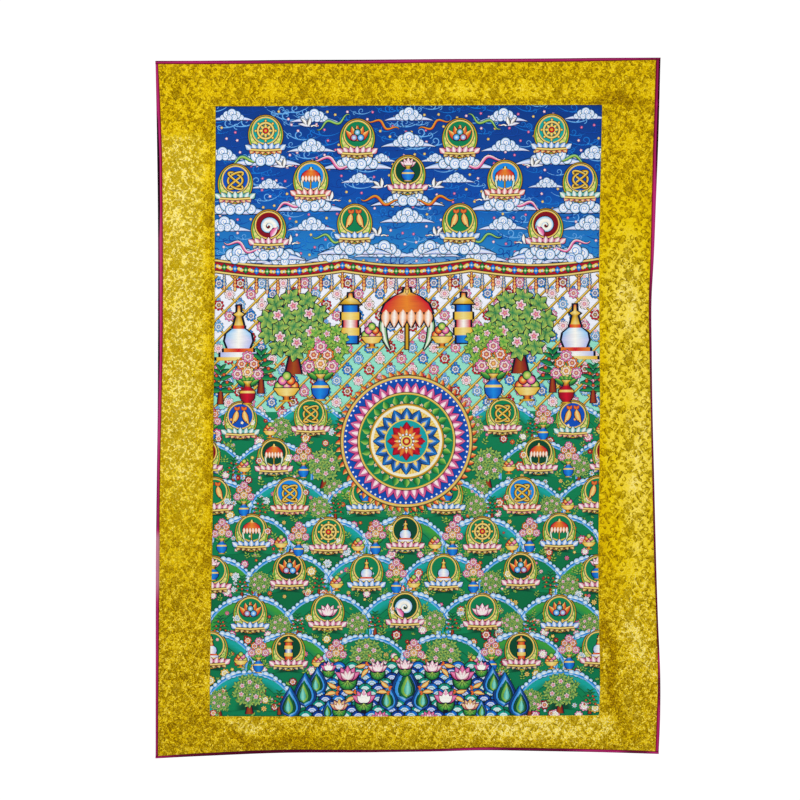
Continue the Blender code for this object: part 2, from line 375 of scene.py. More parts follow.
def fan(part, turns, radius=0.0):
    """Copies of a part that point in these directions, in degrees from straight up."""
    way = np.radians(turns)
    places = zip(-radius * np.sin(way), radius * np.cos(way), turns)
    return joined([part.moved(right, up, turn) for right, up, turn in places])


def add_piece(name, points, faces, materials, node=None, values=None):
    """A mesh object from arrays of points and equal-sided faces, riding on the cloth."""
    mesh = bpy.data.meshes.new(name)
    mesh.vertices.add(len(points))
    mesh.vertices.foreach_set("co", points.ravel())
    mesh.loops.add(faces.size)
    mesh.loops.foreach_set("vertex_index", faces.ravel().astype(np.int32))
    mesh.polygons.add(len(faces))
    mesh.polygons.foreach_set("loop_start", np.arange(0, faces.size, faces.shape[1], dtype=np.int32))
    mesh.update(calc_edges=True)
    mesh.shade_smooth()
    for value_name, value in (values or {}).items():
        kind, key = ("FLOAT", "value") if value.ndim == 1 else ("FLOAT_COLOR", "color")
        layer = mesh.attributes.new(value_name, kind, "POINT")
        layer.data.foreach_set(key, value.ravel().astype(np.float32))
    for material in materials:
        mesh.materials.append(material)
    piece = bpy.data.objects.new(name, mesh)
    bpy.context.scene.collection.objects.link(piece)
    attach(piece, "root")
    if node:
        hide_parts(node)
    return piece


def thicken(piece, thickness):
    """Cloth thickness behind the front, with the back on the second material."""
    solidify = piece.modifiers.new("thickness", "SOLIDIFY")
    solidify.thickness = thickness * MM
    solidify.offset = -1
    solidify.material_offset = 1
    solidify.material_offset_rim = 0


def colour(code):
    """A colour such as "c8a000", from the screen's red, green and blue to linear light."""
    part = np.array([int(code[i:i + 2], 16) for i in (0, 2, 4)]) / 255
    return np.where(part <= 0.04045, part / 12.92, ((part + 0.055) / 1.055) ** 2.4)


class Shader:
    """A material's or group's nodes, with short calls for adding and joining them."""

    def __init__(self, tree):
        self.tree = tree

    def add(self, kind, settings=None, **inputs):
        """A new node. Its inputs are named with _ for a space, and each is a socket or a value."""
        node = self.tree.nodes.new(kind)
        for name, value in (settings or {}).items():
            setattr(node, name, value)
        for name, value in inputs.items():
            self.feed(node, name.replace("_", " "), value)
        return node

    def feed(self, node, name, value):
        """Joins a socket to an input, or sets the input's value. A name of digits is its number."""
        socket = node.inputs[int(name)] if name.isdigit() else node.inputs[name]
        if isinstance(value, bpy.types.NodeSocket):
            self.tree.links.new(value, socket)
        else:
            socket.default_value = value

    def maths(self, operation, first, second=0.0, third=0.0):
        """The result of one sum on up to three sockets or numbers."""
        node = self.tree.nodes.new("ShaderNodeMath")
        node.operation = operation
        for place, value in enumerate((first, second, third)):
            self.feed(node, str(place), value)
        return node.outputs[0]

    def mix(self, share, first, second):
        """first * (1 - share) + second * share, for colours."""
        node = self.tree.nodes.new("ShaderNodeMix")
        node.data_type = "RGBA"
        self.feed(node, "0", share)
        self.feed(node, "6", first)
        self.feed(node, "7", second)
        return node.outputs[2]

    def ramp(self, share, *stops):
        """Colours that run from stop to stop as the share rises."""
        node = self.tree.nodes.new("ShaderNodeValToRGB")
        self.feed(node, "0", share)
        marks = node.color_ramp.elements
        while len(marks) < len(stops):
            marks.new(0.5)
        for mark, (place, tint) in zip(marks, stops):
            mark.position = place
            mark.color = tint
        return node.outputs[0]


def rgba(code):
    """A colour with full opacity, for a socket."""
    return (*colour(code), 1.0)


def new_group(name, inputs, outputs):
    """An empty node group with named number inputs and outputs."""
    group = bpy.data.node_groups.new(name, "ShaderNodeTree")
    for label, start in inputs.items():
        socket = group.interface.new_socket(label, in_out="INPUT", socket_type="NodeSocketFloat")
        socket.default_value = start
    for label in outputs:
        group.interface.new_socket(label, in_out="OUTPUT", socket_type="NodeSocketFloat")
    return group, Shader(group), group.nodes.new("NodeGroupInput"), group.nodes.new("NodeGroupOutput")


def make_weave_group():
    """Crossing threads: height = max(|sin| of the warp, |sin| of the weft), each laid over the
    other in turn, with slubs that make some wefts thicker. Pitch is in millimetres."""
    group, sh, given, out = new_group(
        "woven threads", {"Warp pitch": 0.8, "Weft pitch": 0.8, "Slub": 0.3}, ("Height", "Streaks")
    )
    where = sh.add("ShaderNodeTexCoord").outputs["Object"]
    parts = sh.add("ShaderNodeSeparateXYZ", Vector=where)
    warp = sh.maths(
        "DIVIDE", sh.maths("MULTIPLY", parts.outputs["X"], 1000 * np.pi), given.outputs["Warp pitch"]
    )
    weft = sh.maths(
        "DIVIDE", sh.maths("MULTIPLY", parts.outputs["Z"], 1000 * np.pi), given.outputs["Weft pitch"]
    )
    stretch = sh.add("ShaderNodeMapping", Vector=where)
    stretch.inputs["Scale"].default_value = (60, 60, 900)
    slubs = sh.add("ShaderNodeTexNoise", Vector=stretch.outputs[0], Scale=1.0, Detail=2.0)
    sideways = sh.maths("ABSOLUTE", sh.maths("SINE", warp))
    level = sh.maths("ABSOLUTE", sh.maths("SINE", weft))
    threads = sh.maths("MAXIMUM", sh.maths("MULTIPLY", sideways, 0.8), level)
    lift = sh.maths("MULTIPLY", sh.maths("SUBTRACT", slubs.outputs[0], 0.5), given.outputs["Slub"])
    sh.tree.links.new(sh.maths("ADD", threads, lift), out.inputs["Height"])
    sh.tree.links.new(slubs.outputs[0], out.inputs["Streaks"])
    return group


def make_stroke_group():
    """Fine curled strokes of the damask: lines where a soft noise crosses even levels,
    stroke = 1.2 - 3 |sin(20 noise)|, left out where a finer noise is low."""
    group, sh, given, out = new_group("curled strokes", {"Spacing": 11.0}, ("Stroke",))
    where = sh.add("ShaderNodeTexCoord").outputs["Object"]
    per_metre = sh.maths("DIVIDE", 1000.0, given.outputs["Spacing"])
    curls = sh.add("ShaderNodeTexNoise", Vector=where, Scale=per_metre, Detail=1.0)
    breaks = sh.add("ShaderNodeTexNoise", Vector=where, Scale=420.0, Detail=0.0)
    line = sh.maths("ABSOLUTE", sh.maths("SINE", sh.maths("MULTIPLY", curls.outputs[0], 20.0)))
    line = sh.maths("SUBTRACT", 1.2, sh.maths("MULTIPLY", line, 3.0))
    left_whole = sh.maths("MULTIPLY", sh.maths("SUBTRACT", breaks.outputs[0], 0.4), 7.0)
    stroke = sh.maths("MINIMUM", sh.maths("MINIMUM", line, left_whole), 1.0)
    sh.tree.links.new(sh.maths("MAXIMUM", stroke, 0.0), out.inputs["Stroke"])
    return group


def make_speck_group():
    """Bright and dark specks where single floats catch the light or lie in shade:
    speck = 5 (noise - 0.5), held between -1 and 1, on a noise bent along itself."""
    group, sh, given, out = new_group("painted glint specks", {"Spacing": 3.2}, ("Speck",))
    where = sh.add("ShaderNodeTexCoord").outputs["Object"]
    per_metre = sh.maths("DIVIDE", 1000.0, given.outputs["Spacing"])
    noise = sh.add("ShaderNodeTexNoise", Vector=where, Scale=per_metre, Detail=0.0, Distortion=1.6)
    speck = sh.maths("MULTIPLY", sh.maths("SUBTRACT", noise.outputs[0], 0.5), 5.0)
    sh.tree.links.new(sh.maths("MAXIMUM", sh.maths("MINIMUM", speck, 1.0), -1.0), out.inputs["Speck"])
    return group


WEAVE = make_weave_group()
STROKES = make_stroke_group()
SPECKS = make_speck_group()


def curled_strokes(sh, spacing):
    """The damask's fine strokes, this many millimetres apart."""
    node = sh.add("ShaderNodeGroup", {"node_tree": STROKES})
    node.inputs["Spacing"].default_value = spacing
    return node.outputs["Stroke"]


def specks(sh, spacing, share):
    """The painted glint and shade specks of a cloth, times a share that may vary over it."""
    node = sh.add("ShaderNodeGroup", {"node_tree": SPECKS})
    node.inputs["Spacing"].default_value = spacing
    return sh.maths("MULTIPLY", node.outputs["Speck"], share)


def new_material(name, roughness, sheen=0.0, sheen_roughness=0.5):
    """A material with its Shader and its Principled BSDF."""
    made = bpy.data.materials.new(name)
    made.use_nodes = True
    shader = made.node_tree.nodes["Principled BSDF"]
    shader.inputs["Roughness"].default_value = roughness
    shader.inputs["Sheen Weight"].default_value = sheen
    shader.inputs["Sheen Roughness"].default_value = sheen_roughness
    return made, Shader(made.node_tree), shader


def lay_threads(sh, shader, warp, weft, slub, distance, strength=1.0):
    """Adds the weave's bump to a material, and returns the group node."""
    threads = sh.add("ShaderNodeGroup", {"node_tree": WEAVE})
    threads.inputs["Warp pitch"].default_value = warp
    threads.inputs["Weft pitch"].default_value = weft
    threads.inputs["Slub"].default_value = slub
    bump = sh.add("ShaderNodeBump", Height=threads.outputs["Height"], Strength=strength)
    bump.inputs["Distance"].default_value = distance * MM
    sh.feed(shader, "Normal", bump.outputs[0])
    return threads


def attribute(sh, name):
    """The node that reads a value kept at each point of a mesh."""
    return sh.add("ShaderNodeAttribute", {"attribute_name": name})


def brocade_ground():
    """Satin ground: pale where the painted sheen is high and deep gold where painted shade lies. Where the
    figure is dense, olive fills bent cells and leaves the ground as thin pale lines."""
    made, sh, shader = new_material("gold satin ground", 0.45, 0.1)
    shader.inputs["Specular IOR Level"].default_value = 0.3
    shader.inputs["Specular Tint"].default_value = rgba("ffd24a")
    shader.inputs["Sheen Tint"].default_value = rgba("ffd24a")
    threads = lay_threads(sh, shader, 0.5, 0.9, 0.5, 0.12)
    # Painted sheen and painted shade from the zones, and painted glint and shade specks, set how pale the
    # gold is.
    sheen_and_shade = attribute(sh, "sheen_and_shade").outputs["Fac"]
    where = sh.add("ShaderNodeTexCoord").outputs["Object"]
    noise = sh.add("ShaderNodeTexNoise", Vector=where, Scale=380.0, Detail=2.0)
    dense = attribute(sh, "dense").outputs["Fac"]
    glint_stroke_share = attribute(sh, "glint_stroke_share").outputs["Fac"]
    paler = sh.maths("ADD", sheen_and_shade, sh.maths("MULTIPLY", dense, 0.1))
    paler = sh.maths("ADD", paler, specks(sh, 2.2, sh.maths("MULTIPLY", glint_stroke_share, 0.5)))
    uneven = sh.maths("ADD", paler, sh.maths("MULTIPLY", sh.maths("SUBTRACT", noise.outputs[0], 0.46), 0.5))
    tint = sh.ramp(
        uneven, (0.0, rgba("906c00")), (0.3, rgba("dab400")), (0.55, rgba("ecce08")),
        (0.8, rgba("f8de4a")), (1.0, rgba("fff096")),
    )
    wander = sh.add("ShaderNodeTexNoise", Vector=where, Scale=170.0, Detail=1.0)
    bent = sh.add("ShaderNodeVectorMath", {"operation": "MULTIPLY_ADD"})
    for place, value in enumerate((wander.outputs["Color"], (0.007, 0.007, 0.007), where)):
        sh.feed(bent, str(place), value)
    cells = sh.add(
        "ShaderNodeTexVoronoi", {"feature": "DISTANCE_TO_EDGE"}, Vector=bent.outputs[0], Scale=140.0
    )
    inside = sh.maths("MULTIPLY", sh.maths("SUBTRACT", cells.outputs["Distance"], 0.09), 8.0)
    inside = sh.maths("MAXIMUM", sh.maths("MINIMUM", inside, 0.9), 0.0)
    filled = sh.mix(sh.maths("MULTIPLY", inside, dense), tint, rgba("b0980e"))
    stroked = sh.mix(sh.maths("MULTIPLY", curled_strokes(sh, 11.0), 0.7), filled, rgba("a07a00"))
    streaky = sh.mix(sh.maths("MULTIPLY", threads.outputs["Streaks"], 0.08), stroked, rgba("a47c00"))
    sh.feed(shader, "Base Color", streaky)
    return made


def brocade_figure():
    """Matte figure of the damask: olive gold, paler where the painted sheen is high, with a painted shade
    line along the darker edge of each shape, broken where a noise is low.
    """
    made, sh, shader = new_material("gold matte figure", 0.7)
    shader.inputs["Specular IOR Level"].default_value = 0.2
    shader.inputs["Specular Tint"].default_value = rgba("ffd24a")
    lay_threads(sh, shader, 0.9, 0.5, 0.6, 0.1)
    sheen_and_shade = attribute(sh, "sheen_and_shade").outputs["Fac"]
    where = sh.add("ShaderNodeTexCoord").outputs["Object"]
    noise = sh.add("ShaderNodeTexNoise", Vector=where, Scale=300.0, Detail=2.0)
    glint_stroke_share = attribute(sh, "glint_stroke_share").outputs["Fac"]
    # Painted sheen and painted glint and shade specks lighten or darken the figure.
    uneven = sh.maths("ADD", sheen_and_shade, specks(sh, 2.2, sh.maths("MULTIPLY", glint_stroke_share, 0.5)))
    uneven = sh.maths("ADD", uneven, sh.maths("MULTIPLY", sh.maths("SUBTRACT", noise.outputs[0], 0.46), 0.5))
    tint = sh.ramp(
        uneven, (0.0, rgba("785600")), (0.35, rgba("be9800")), (0.7, rgba("c4a606")), (1.0, rgba("e2c632"))
    )
    share = sh.maths("MULTIPLY_ADD", glint_stroke_share, 0.65, 0.1)
    lit = sh.mix(sh.maths("MULTIPLY", curled_strokes(sh, 9.0), share), tint, rgba("e4ca38"))
    # Painted shade along the figure's edges, where the shade value is high.
    edge = sh.maths("MULTIPLY", sh.maths("SUBTRACT", attribute(sh, "shade").outputs["Fac"], 0.45), 3.0)
    # The painted shade line is left out where this noise is low.
    shade_breaks = sh.maths("MULTIPLY", sh.maths("SUBTRACT", noise.outputs[0], 0.34), 5.0)
    darkest = sh.maths("SUBTRACT", 0.95, sh.maths("MULTIPLY", attribute(sh, "dense").outputs["Fac"], 0.42))
    darkest = sh.maths("SUBTRACT", darkest, sh.maths("MULTIPLY", glint_stroke_share, 0.35))
    outline = sh.maths("MAXIMUM", sh.maths("MINIMUM", sh.maths("MINIMUM", edge, shade_breaks), darkest), 0.0)
    sh.feed(shader, "Base Color", sh.mix(outline, lit, rgba("6c4e00")))
    return made


def cloth_back(name, tint):
    """The plain reverse of a cloth: loose weft floats in a dull tint."""
    made, sh, shader = new_material(name, 0.85, 0.1)
    threads = lay_threads(sh, shader, 1.4, 0.7, 1.2, 0.25)
    mixed = sh.mix(threads.outputs["Streaks"], rgba(tint), rgba("d8cfae"))
    sh.feed(shader, "Base Color", mixed)
    return made


def picture_ground():
    """The woven ground of the picture: blue above, turning to pale and then green below."""
    made, sh, shader = new_material("picture ground", 0.75)
    shader.inputs["Specular IOR Level"].default_value = 0.1
    lay_threads(sh, shader, 0.7, 0.9, 0.6, 0.12)
    where = sh.add("ShaderNodeTexCoord").outputs["Object"]
    down = sh.maths("MULTIPLY", sh.add("ShaderNodeSeparateXYZ", Vector=where).outputs["Z"], -1)
    tint = sh.ramp(
        down, (0.06, rgba("08347e")), (0.2, rgba("0a4aa4")), (0.29, rgba("2480c4")), (0.34, rgba("dfe6d8")),
        (0.40, rgba("2a9a6a")), (0.55, rgba("0a7a50")), (0.8, rgba("08683f")), (0.97, rgba("0a7a50")),
    )
    sh.feed(shader, "Base Color", tint)
    return made


def picture_silk():
    """The picture's coloured wefts: the painted colour, a little uneven along each thread."""
    made, sh, shader = new_material("picture silk", 0.7)
    shader.inputs["Specular IOR Level"].default_value = 0.1
    threads = lay_threads(sh, shader, 0.7, 1.1, 0.8, 0.14)
    painted = attribute(sh, "paint").outputs["Color"]
    share = sh.maths("MULTIPLY", sh.maths("SUBTRACT", threads.outputs["Streaks"], 0.3), 0.35)
    sh.feed(shader, "Base Color", sh.mix(share, painted, rgba("10182c")))
    return made


def magenta_satin():
    """Satin piping: magenta, with painted shade in maroon on the turn towards the brocade and in near black
    on the outer turn where the rim value says so; the tone value adds painted shade above 0 and a painted
    highlight below."""
    made, sh, shader = new_material("magenta satin", 0.45, 0.03)
    shader.inputs["Specular IOR Level"].default_value = 0.12
    shader.inputs["Specular Tint"].default_value = rgba("e060a0")
    lay_threads(sh, shader, 0.6, 0.6, 0.4, 0.08)
    turn = attribute(sh, "turn").outputs["Fac"]
    rim = attribute(sh, "rim").outputs["Fac"]
    tone = attribute(sh, "tone").outputs["Fac"]
    # Painted shade across the bead: maroon on the turn towards the brocade, magenta on its ridge.
    bead_shading = sh.ramp(
        turn, (0.0, rgba("70101c")), (0.2, rgba("900c30")), (0.36, rgba("b42a70")), (1.0, rgba("b42a70"))
    )
    # Painted shade on the outer turn, as dark as the rim value says.
    starts = sh.maths("SUBTRACT", 0.78, sh.maths("MULTIPLY", rim, 0.25))
    outer = sh.maths("MINIMUM", sh.maths("MULTIPLY", sh.maths("SUBTRACT", turn, starts), 9), rim)
    outer_turn_shaded = sh.mix(outer, bead_shading, rgba("0c040a"))
    # Painted shade along the edge where the tone value is above 0, and a painted highlight where it is below
    # 0.
    shade_along = sh.mix(sh.maths("MAXIMUM", tone, 0), outer_turn_shaded, rgba("3c0412"))
    highlight_along = sh.mix(sh.maths("MAXIMUM", sh.maths("MULTIPLY", tone, -1), 0), shade_along, rgba("cca4b0"))
    sh.feed(shader, "Base Color", highlight_along)
    return made


# Zones of painted sheen and painted shade on the satin: painted highlights where it shines pale, and painted
# shade where it lies deep in tone along folds, creases and edges, laid out like the folds: across, down,
# lean, length, width, and how much paler (or below 0, deeper) the middle is
SHEEN_AND_SHADE_ZONES = (
    (-342, 160, 0, 130, 50, 0.31),
    (-334, 360, 0, 170, 46, 0.35),
    (-334, 560, 0, 110, 40, 0.28),
    (-294, 240, 0, 130, 9, -0.16),
    (-294, 520, 0, 160, 8, -0.18),
    (-290.5, 330, 0.4, 280, 1.5, -0.30),
    (322, 330, 0, 90, 34, 0.34),
    (345, 480, 4, 170, 34, 0.34),
    (300, 500, 0, 140, 14, 0.26),
    (335, 610, 0, 110, 30, 0.22),
    (342, 720, 6, 130, 26, 0.22),
    (330, 850, 0, 130, 30, 0.12),
    (347, 880, 25, 34, 9, 0.42),
    (330, 838, 20, 30, 14, 0.20),
    (286, 893, 3, 34, 2.2, -0.30),
    (290.5, 896, 3, 34, 2.2, 0.34),
    (293.5, 905, 4, 22, 1.4, -0.34),
    (140, 986, 90, 66, 15, 0.36),
    (235, 986, 90, 95, 20, 0.34),
    (-243, 987, 90, 34, 11, 0.46),
    (-60, 984, 90, 130, 9, 0.26),
    (200, 995, 90, 170, 24, 0.10),
    (60, 46, 90, 330, 14, 0.14),
    (60, 64.6, 90.2, 330, 1.5, -0.34),
    (60, 67.4, 90.2, 330, 1.0, 0.30),
    (-130, 1010, 90, 60, 14, -0.20),
    (-178, 1008, 90, 34, 8, -0.30),
    (190, 1013, 90, 80, 9, -0.10),
    (288, 842, 0, 14, 6, -0.38),
    (298, 860, 30, 18, 6, -0.38),
    (304, 886, 2, 20, 5, -0.42),
    (302, 912, -6, 22, 4, -0.34),
    (300, 934, 8, 26, 4, -0.50),
    (312, 958, 20, 18, 7, -0.30),
    (318, 986, 20, 18, 11, -0.42),
    (338, 1000, 90, 20, 7, -0.36),
    (-255, 998, 48, 27, 6, -0.55),
    (-350, 996, 10, 20, 11, -0.26),
    (-310, 985, 0, 30, 26, -0.16),
    (-355, 80, 15, 15, 9, -0.36),
    (-345, 103, 82, 36, 6, -0.24),
    (-335, 108, 90, 34, 3, -0.16),
    (-320, 45, 90, 60, 30, -0.08),
    (305, 56, 75, 34, 11, -0.30),
    (310, 65, 90, 40, 2.2, -0.30),
    (-340, 917, 90, 30, 2.4, -0.24),
)
SHEEN_AND_SHADE_BASE = 0.34
# The left strip's pale stretch is painted sheen.
LEFT_PALE_FROM = 110.0  # how far down the pale stretch of the left strip starts, along a crease


def lustre_at(across, down):
    """How pale the painted sheen and shade leave the satin, from 0 to 1: a base level plus the soft zones of
    painted highlight and painted shade, and some unevenness.
    """
    zones = fold_height(SHEEN_AND_SHADE_ZONES, across, down)
    above = 1 / (1 + np.exp((down - LEFT_PALE_FROM - 3 * ripple(across, down, 60)) / 2.5))
    zones = np.where(across < 0, zones * (1 - above) + np.minimum(zones, 0) * above, zones)
    # The painted shade zones are broken up by a ripple.
    zones *= 1 + 0.5 * (zones < 0) * ripple(across, down, 17)
    return np.clip(SHEEN_AND_SHADE_BASE + zones + 0.07 * ripple(across, down, 31), 0, 1)


def dense_at(across, down):
    """How closely the figure fills the ground, from 0 to 1: most in the left strip's pale stretch."""
    beside = 1 / (1 + np.exp((across + 304) / 4))
    below = 1 / (1 + np.exp((LEFT_PALE_FROM + 3 * ripple(across, down, 60) - down) / 3))
    above = 1 / (1 + np.exp((down - 760) / 40))
    return beside * below * above


def grain_at(across, down):
    """How far painted glint and shade specks break up the damask, how much the figure's strokes show and how
    far its painted edge shade is held back, from 0 to 1: most in the lower part, and least in the right
    strip's middle, where the figure is crisp."""
    low = 1 / (1 + np.exp((770 - down) / 30))
    beside = 1 / (1 + np.exp((285 - across) / 6))
    below = 1 / (1 + np.exp((200 - down) / 16))
    return np.clip(0.55 + 0.35 * low - 0.55 * beside * below * (1 - low), 0, 1)


def cloth_values(across, down):
    """What the brocade's materials read at each place."""
    return {
        # painted sheen and shade, how dense the figure is, and the share of painted glints
        "sheen_and_shade": lustre_at(across, down).ravel(),
        "dense": dense_at(across, down).ravel(),
        "glint_stroke_share": grain_at(across, down).ravel(),
    }


EDGE_LINES = np.array([0, 0.15, 0.45, 0.9, 1.4, 2.2])  # close lines where the brocade turns over
CELL = 3.0
TUCK_IN = 0.8  # how far the brocade runs in under the rolled binding


def strip_shares(width, fold_first, fold_last):
    """Shares across a strip of this width, closer together at its turned-over edges."""
    inner = np.arange(EDGE_LINES[-1] + CELL, width - EDGE_LINES[-1] - CELL / 2, CELL)
    first = EDGE_LINES if fold_first else np.array([0, 0.8, 2.0])
    last = width - (EDGE_LINES if fold_last else np.array([0, 0.8, 2.0]))[::-1]
    return np.concatenate([first, inner, last]) / width


def strip_places(left, right, top, bottom, shares_across, shares_down):
    """A grid between two upright and two level edges, each given as a function."""
    middle_down = top(0.0) + shares_down * (bottom(0.0) - top(0.0))
    start, end = left(middle_down)[:, None], right(middle_down)[:, None]
    across = start + shares_across * (end - start)
    upper, lower = top(across), bottom(across)
    down = upper + shares_down[:, None] * (lower - upper)
    return across, down


def upright(name, offset=0.0):
    """An upright edge, moved across by the offset, for any place down."""
    return lambda down: side_edge(name, down) + offset


def level(name, offset=0.0):
    """A level edge, moved down by the offset, for any place across."""
    return lambda across: hem_edge(name, across) + offset


def brocade_strips(ground, back):
    """Four strips of satin: top and bottom run the full width, the sides fit between them."""
    wide, tall, high, low = 737.0, 902.0, 64.0, 52.0
    full = strip_shares(wide, False, False)
    strips = {
        "brocade_top": (
            (
                upright("left_seam", -TUCK_IN), upright("right_seam", TUCK_IN), level("top_seam", -TUCK_IN),
                level("picture_top")
            ),
            full, strip_shares(high, False, True), (0.737, 0.075),
        ),
        "brocade_bottom": (
            (
                upright("left_seam", -TUCK_IN), upright("right_seam", TUCK_IN), level("picture_bottom"),
                level("bottom_seam", TUCK_IN)
            ),
            full, strip_shares(low, True, False), (0.737, 0.062),
        ),
        "brocade_left": (
            (
                upright("left_seam", -TUCK_IN), upright("picture_left"), level("picture_top"),
                level("picture_bottom")
            ),
            strip_shares(81.0, False, True), strip_shares(tall, False, False), (0.09, 0.902),
        ),
        "brocade_right": (
            (
                upright("picture_right"), upright("right_seam", TUCK_IN), level("picture_top"),
                level("picture_bottom")
            ),
            strip_shares(78.0, True, False), strip_shares(tall, False, False), (0.088, 0.902),
        ),
    }
    made = {}
    for node, (edges, shares_across, shares_down, flat) in strips.items():
        across, down = strip_places(*edges, shares_across, shares_down)
        points = hung(across, down, brocade_front(across, down))
        strip = add_piece(
            node + "_satin", points, grid_faces(*across.shape), [ground, back], node,
            cloth_values(across, down),
        )
        thicken(strip, BROCADE_THICK)
        made[node] = (strip, flat)
    return made


# The damask's repeat, in mm: a wandering stem, with its curls, leaves, flowers and dotted
# blossoms set beside it. Every second copy is flipped, and every second column drops by half.
REPEAT_WIDE = 47.0
REPEAT_TALL = 63.0
STEM_SWAY = 8.5
STEMS = ((1, 12), (17, 26), (32, 43), (48, 58))  # the stretches of the stem that show
CURLS = (  # beside, up, first and last radius, first and last angle, width
    (13, 16, 11.0, 9.6, 208, 296, 1.8),
    (-12.5, 45, 11.0, 9.6, -28, -116, 1.8),
    (-10, 13, 5.2, 1.5, -70, 290, 2.1),
    (10, 45, 5.2, 1.5, 250, -110, 2.1),
    (-19, 24, 4.2, 1.4, -20, 300, 1.9),
    (20, 36, 4.2, 1.4, 200, -120, 1.9),
    (-21, 4, 4.0, 1.4, 100, 400, 1.8),
    (21, 56, 4.0, 1.4, 80, -220, 1.8),
)
LEAVES = (  # beside, up, turn, length, width, bend; those over 10 mm long show a vein
    (2, 27, -40, 12, 7.4, 25), (-2, 59, 42, 12, 7.4, -25), (-2, 3, 78, 12, 7.0, -20),
    (2, 34, -84, 12, 7.0, 20), (22, 2, 16, 11.5, 7.0, 20), (-22, 33, -12, 11.5, 7.0, -20),
    (13, 57, -28, 11, 6.6, 25), (-13, 25, 30, 11, 6.6, -25), (0, 10, 60, 8, 4.8, 40),
    (0, 21, 56, 8.5, 5.0, -35), (0, 41, -58, 8, 4.8, -40), (0, 52, -50, 8.5, 5.0, 35),
    (6, 6, -70, 8, 4.6, 40), (21, 10, -10, 7.5, 4.4, 45), (21, 20, 10, 8, 4.6, -45), (9, 26, -10, 7, 4.4, 40),
    (-6, 36, 110, 8, 4.6, -40), (-21, 42, 20, 7.5, 4.4, -45), (-21, 51, -10, 8, 4.6, 45),
    (-9, 57, 10, 7, 4.4, -40), (-16, 6, 150, 7, 4.2, 40), (-4, 18, 40, 6.5, 4.0, 50),
    (-18, 16, 100, 6.5, 4.2, -40), (-12, 21, 20, 6, 3.8, 40), (16, 38, -150, 7, 4.2, -40),
    (4, 49, -40, 6.5, 4.0, -50), (18, 48, -100, 6.5, 4.2, 40), (12, 53, -20, 6, 3.8, -40),
    (-8, 29, -30, 6.5, 3.8, 30), (8, 61, 30, 6.5, 3.8, -30), (15, 29, 30, 7, 4.2, -40),
    (-15, 61, -30, 7, 4.2, 40),
)
FLOWERS = (  # beside, up, radius, petals, turn
    (13, 16, 7.0, 6, 10),
    (-12.5, 45, 6.8, 5, 0),
)
BLOSSOMS = (  # beside, up, radius of the flower, ringed by dots
    (21, 29, 2.0), (-21, 60, 2.0), (5, 38, 1.5), (-5, 7, 1.5), (8, 31, 1.3), (-8, 63, 1.3),
)


def beside_stem(beside, up):
    """A place beside the stem, which sways by STEM_SWAY * sin(2 * pi * up / REPEAT_TALL)."""
    return beside + STEM_SWAY * np.sin(2 * np.pi * up / REPEAT_TALL)


def half_leaf(length, width, bend, steps=6):
    """Half of a leaf, from its edge of tone b, which takes the painted shade line, to its paler one."""
    return petal(length, width, bend, ("b", "a"), steps, 0.7)


def damask_flower(radius, petals, turn):
    """Parted petals round a ring and an eye, with a vein left open down each petal."""
    parts = [
        rosette([(0, "a"), (radius * 0.2, "b")], 7), rosette([(radius * 0.3, "a"), (radius * 0.42, "b")], 12)
    ]
    for i in range(petals):
        angle = turn + 360 * i / petals
        for side in (-1, 1):
            half = half_leaf(radius * 0.62, radius * 0.4, -side * 28, 5)
            spot = np.radians(angle + 90 + side * 11)
            parts.append(
                half.moved(radius * 0.46 * np.cos(spot), radius * 0.46 * np.sin(spot), angle + side * 22)
            )
    return joined(parts)


def damask_blossom(radius):
    """A small round blossom in a ring of dots."""
    dots = [rosette([(0, "a"), (0.8, "b")], 5).moved(*place) for place in arc(0, 0, radius + 2.2, 0, 308, 7)]
    return joined([rosette([(0, "a"), (radius, "b")], 10, 5, 0.3)] + dots)


def damask_repeat():
    """One repeat of the figure."""
    parts = []
    for start, end in STEMS:
        up = np.linspace(start, end, 7)
        parts.append(ribbon(np.stack([beside_stem(0, up), up], axis=1), 1.7, ("b", "a")))
    for beside, up, first, last, start, end, width in CURLS:
        path = arc(beside_stem(beside, up), up, (first, last), start, end, int(abs(end - start) / 24) + 2)
        parts.append(ribbon(path, np.linspace(width, width * 0.75, len(path)), ("b", "a")))
    for beside, up, turn, length, width, bend in LEAVES:
        root = (beside_stem(beside, up), up)
        if length > 10:
            halves = [
                half_leaf(length, width * 0.52, bend - side * 16).moved(*root, turn + side * 13)
                for side in (-1, 1)
            ]
            parts += halves
        else:
            parts.append(half_leaf(length * 1.1, width * 1.2, bend, 5).moved(*root, turn))
    for beside, up, radius, petals, turn in FLOWERS:
        parts.append(damask_flower(radius, petals, turn).moved(beside_stem(beside, up), up))
    for beside, up, radius in BLOSSOMS:
        parts.append(damask_blossom(radius).moved(beside_stem(beside, up), up))
    return joined(parts)


def facing_viewer(across, down, faces):
    """The triangles that have some width, all turned to face the viewer."""
    x, y = across[faces], down[faces]
    area = (x[:, 1] - x[:, 0]) * (y[:, 2] - y[:, 0]) - (x[:, 2] - x[:, 0]) * (y[:, 1] - y[:, 0])
    faces = np.where(area[:, None] > 0, faces[:, ::-1], faces)
    return faces[np.abs(area) > 0.002]


FIGURE_LIFT = 0.16


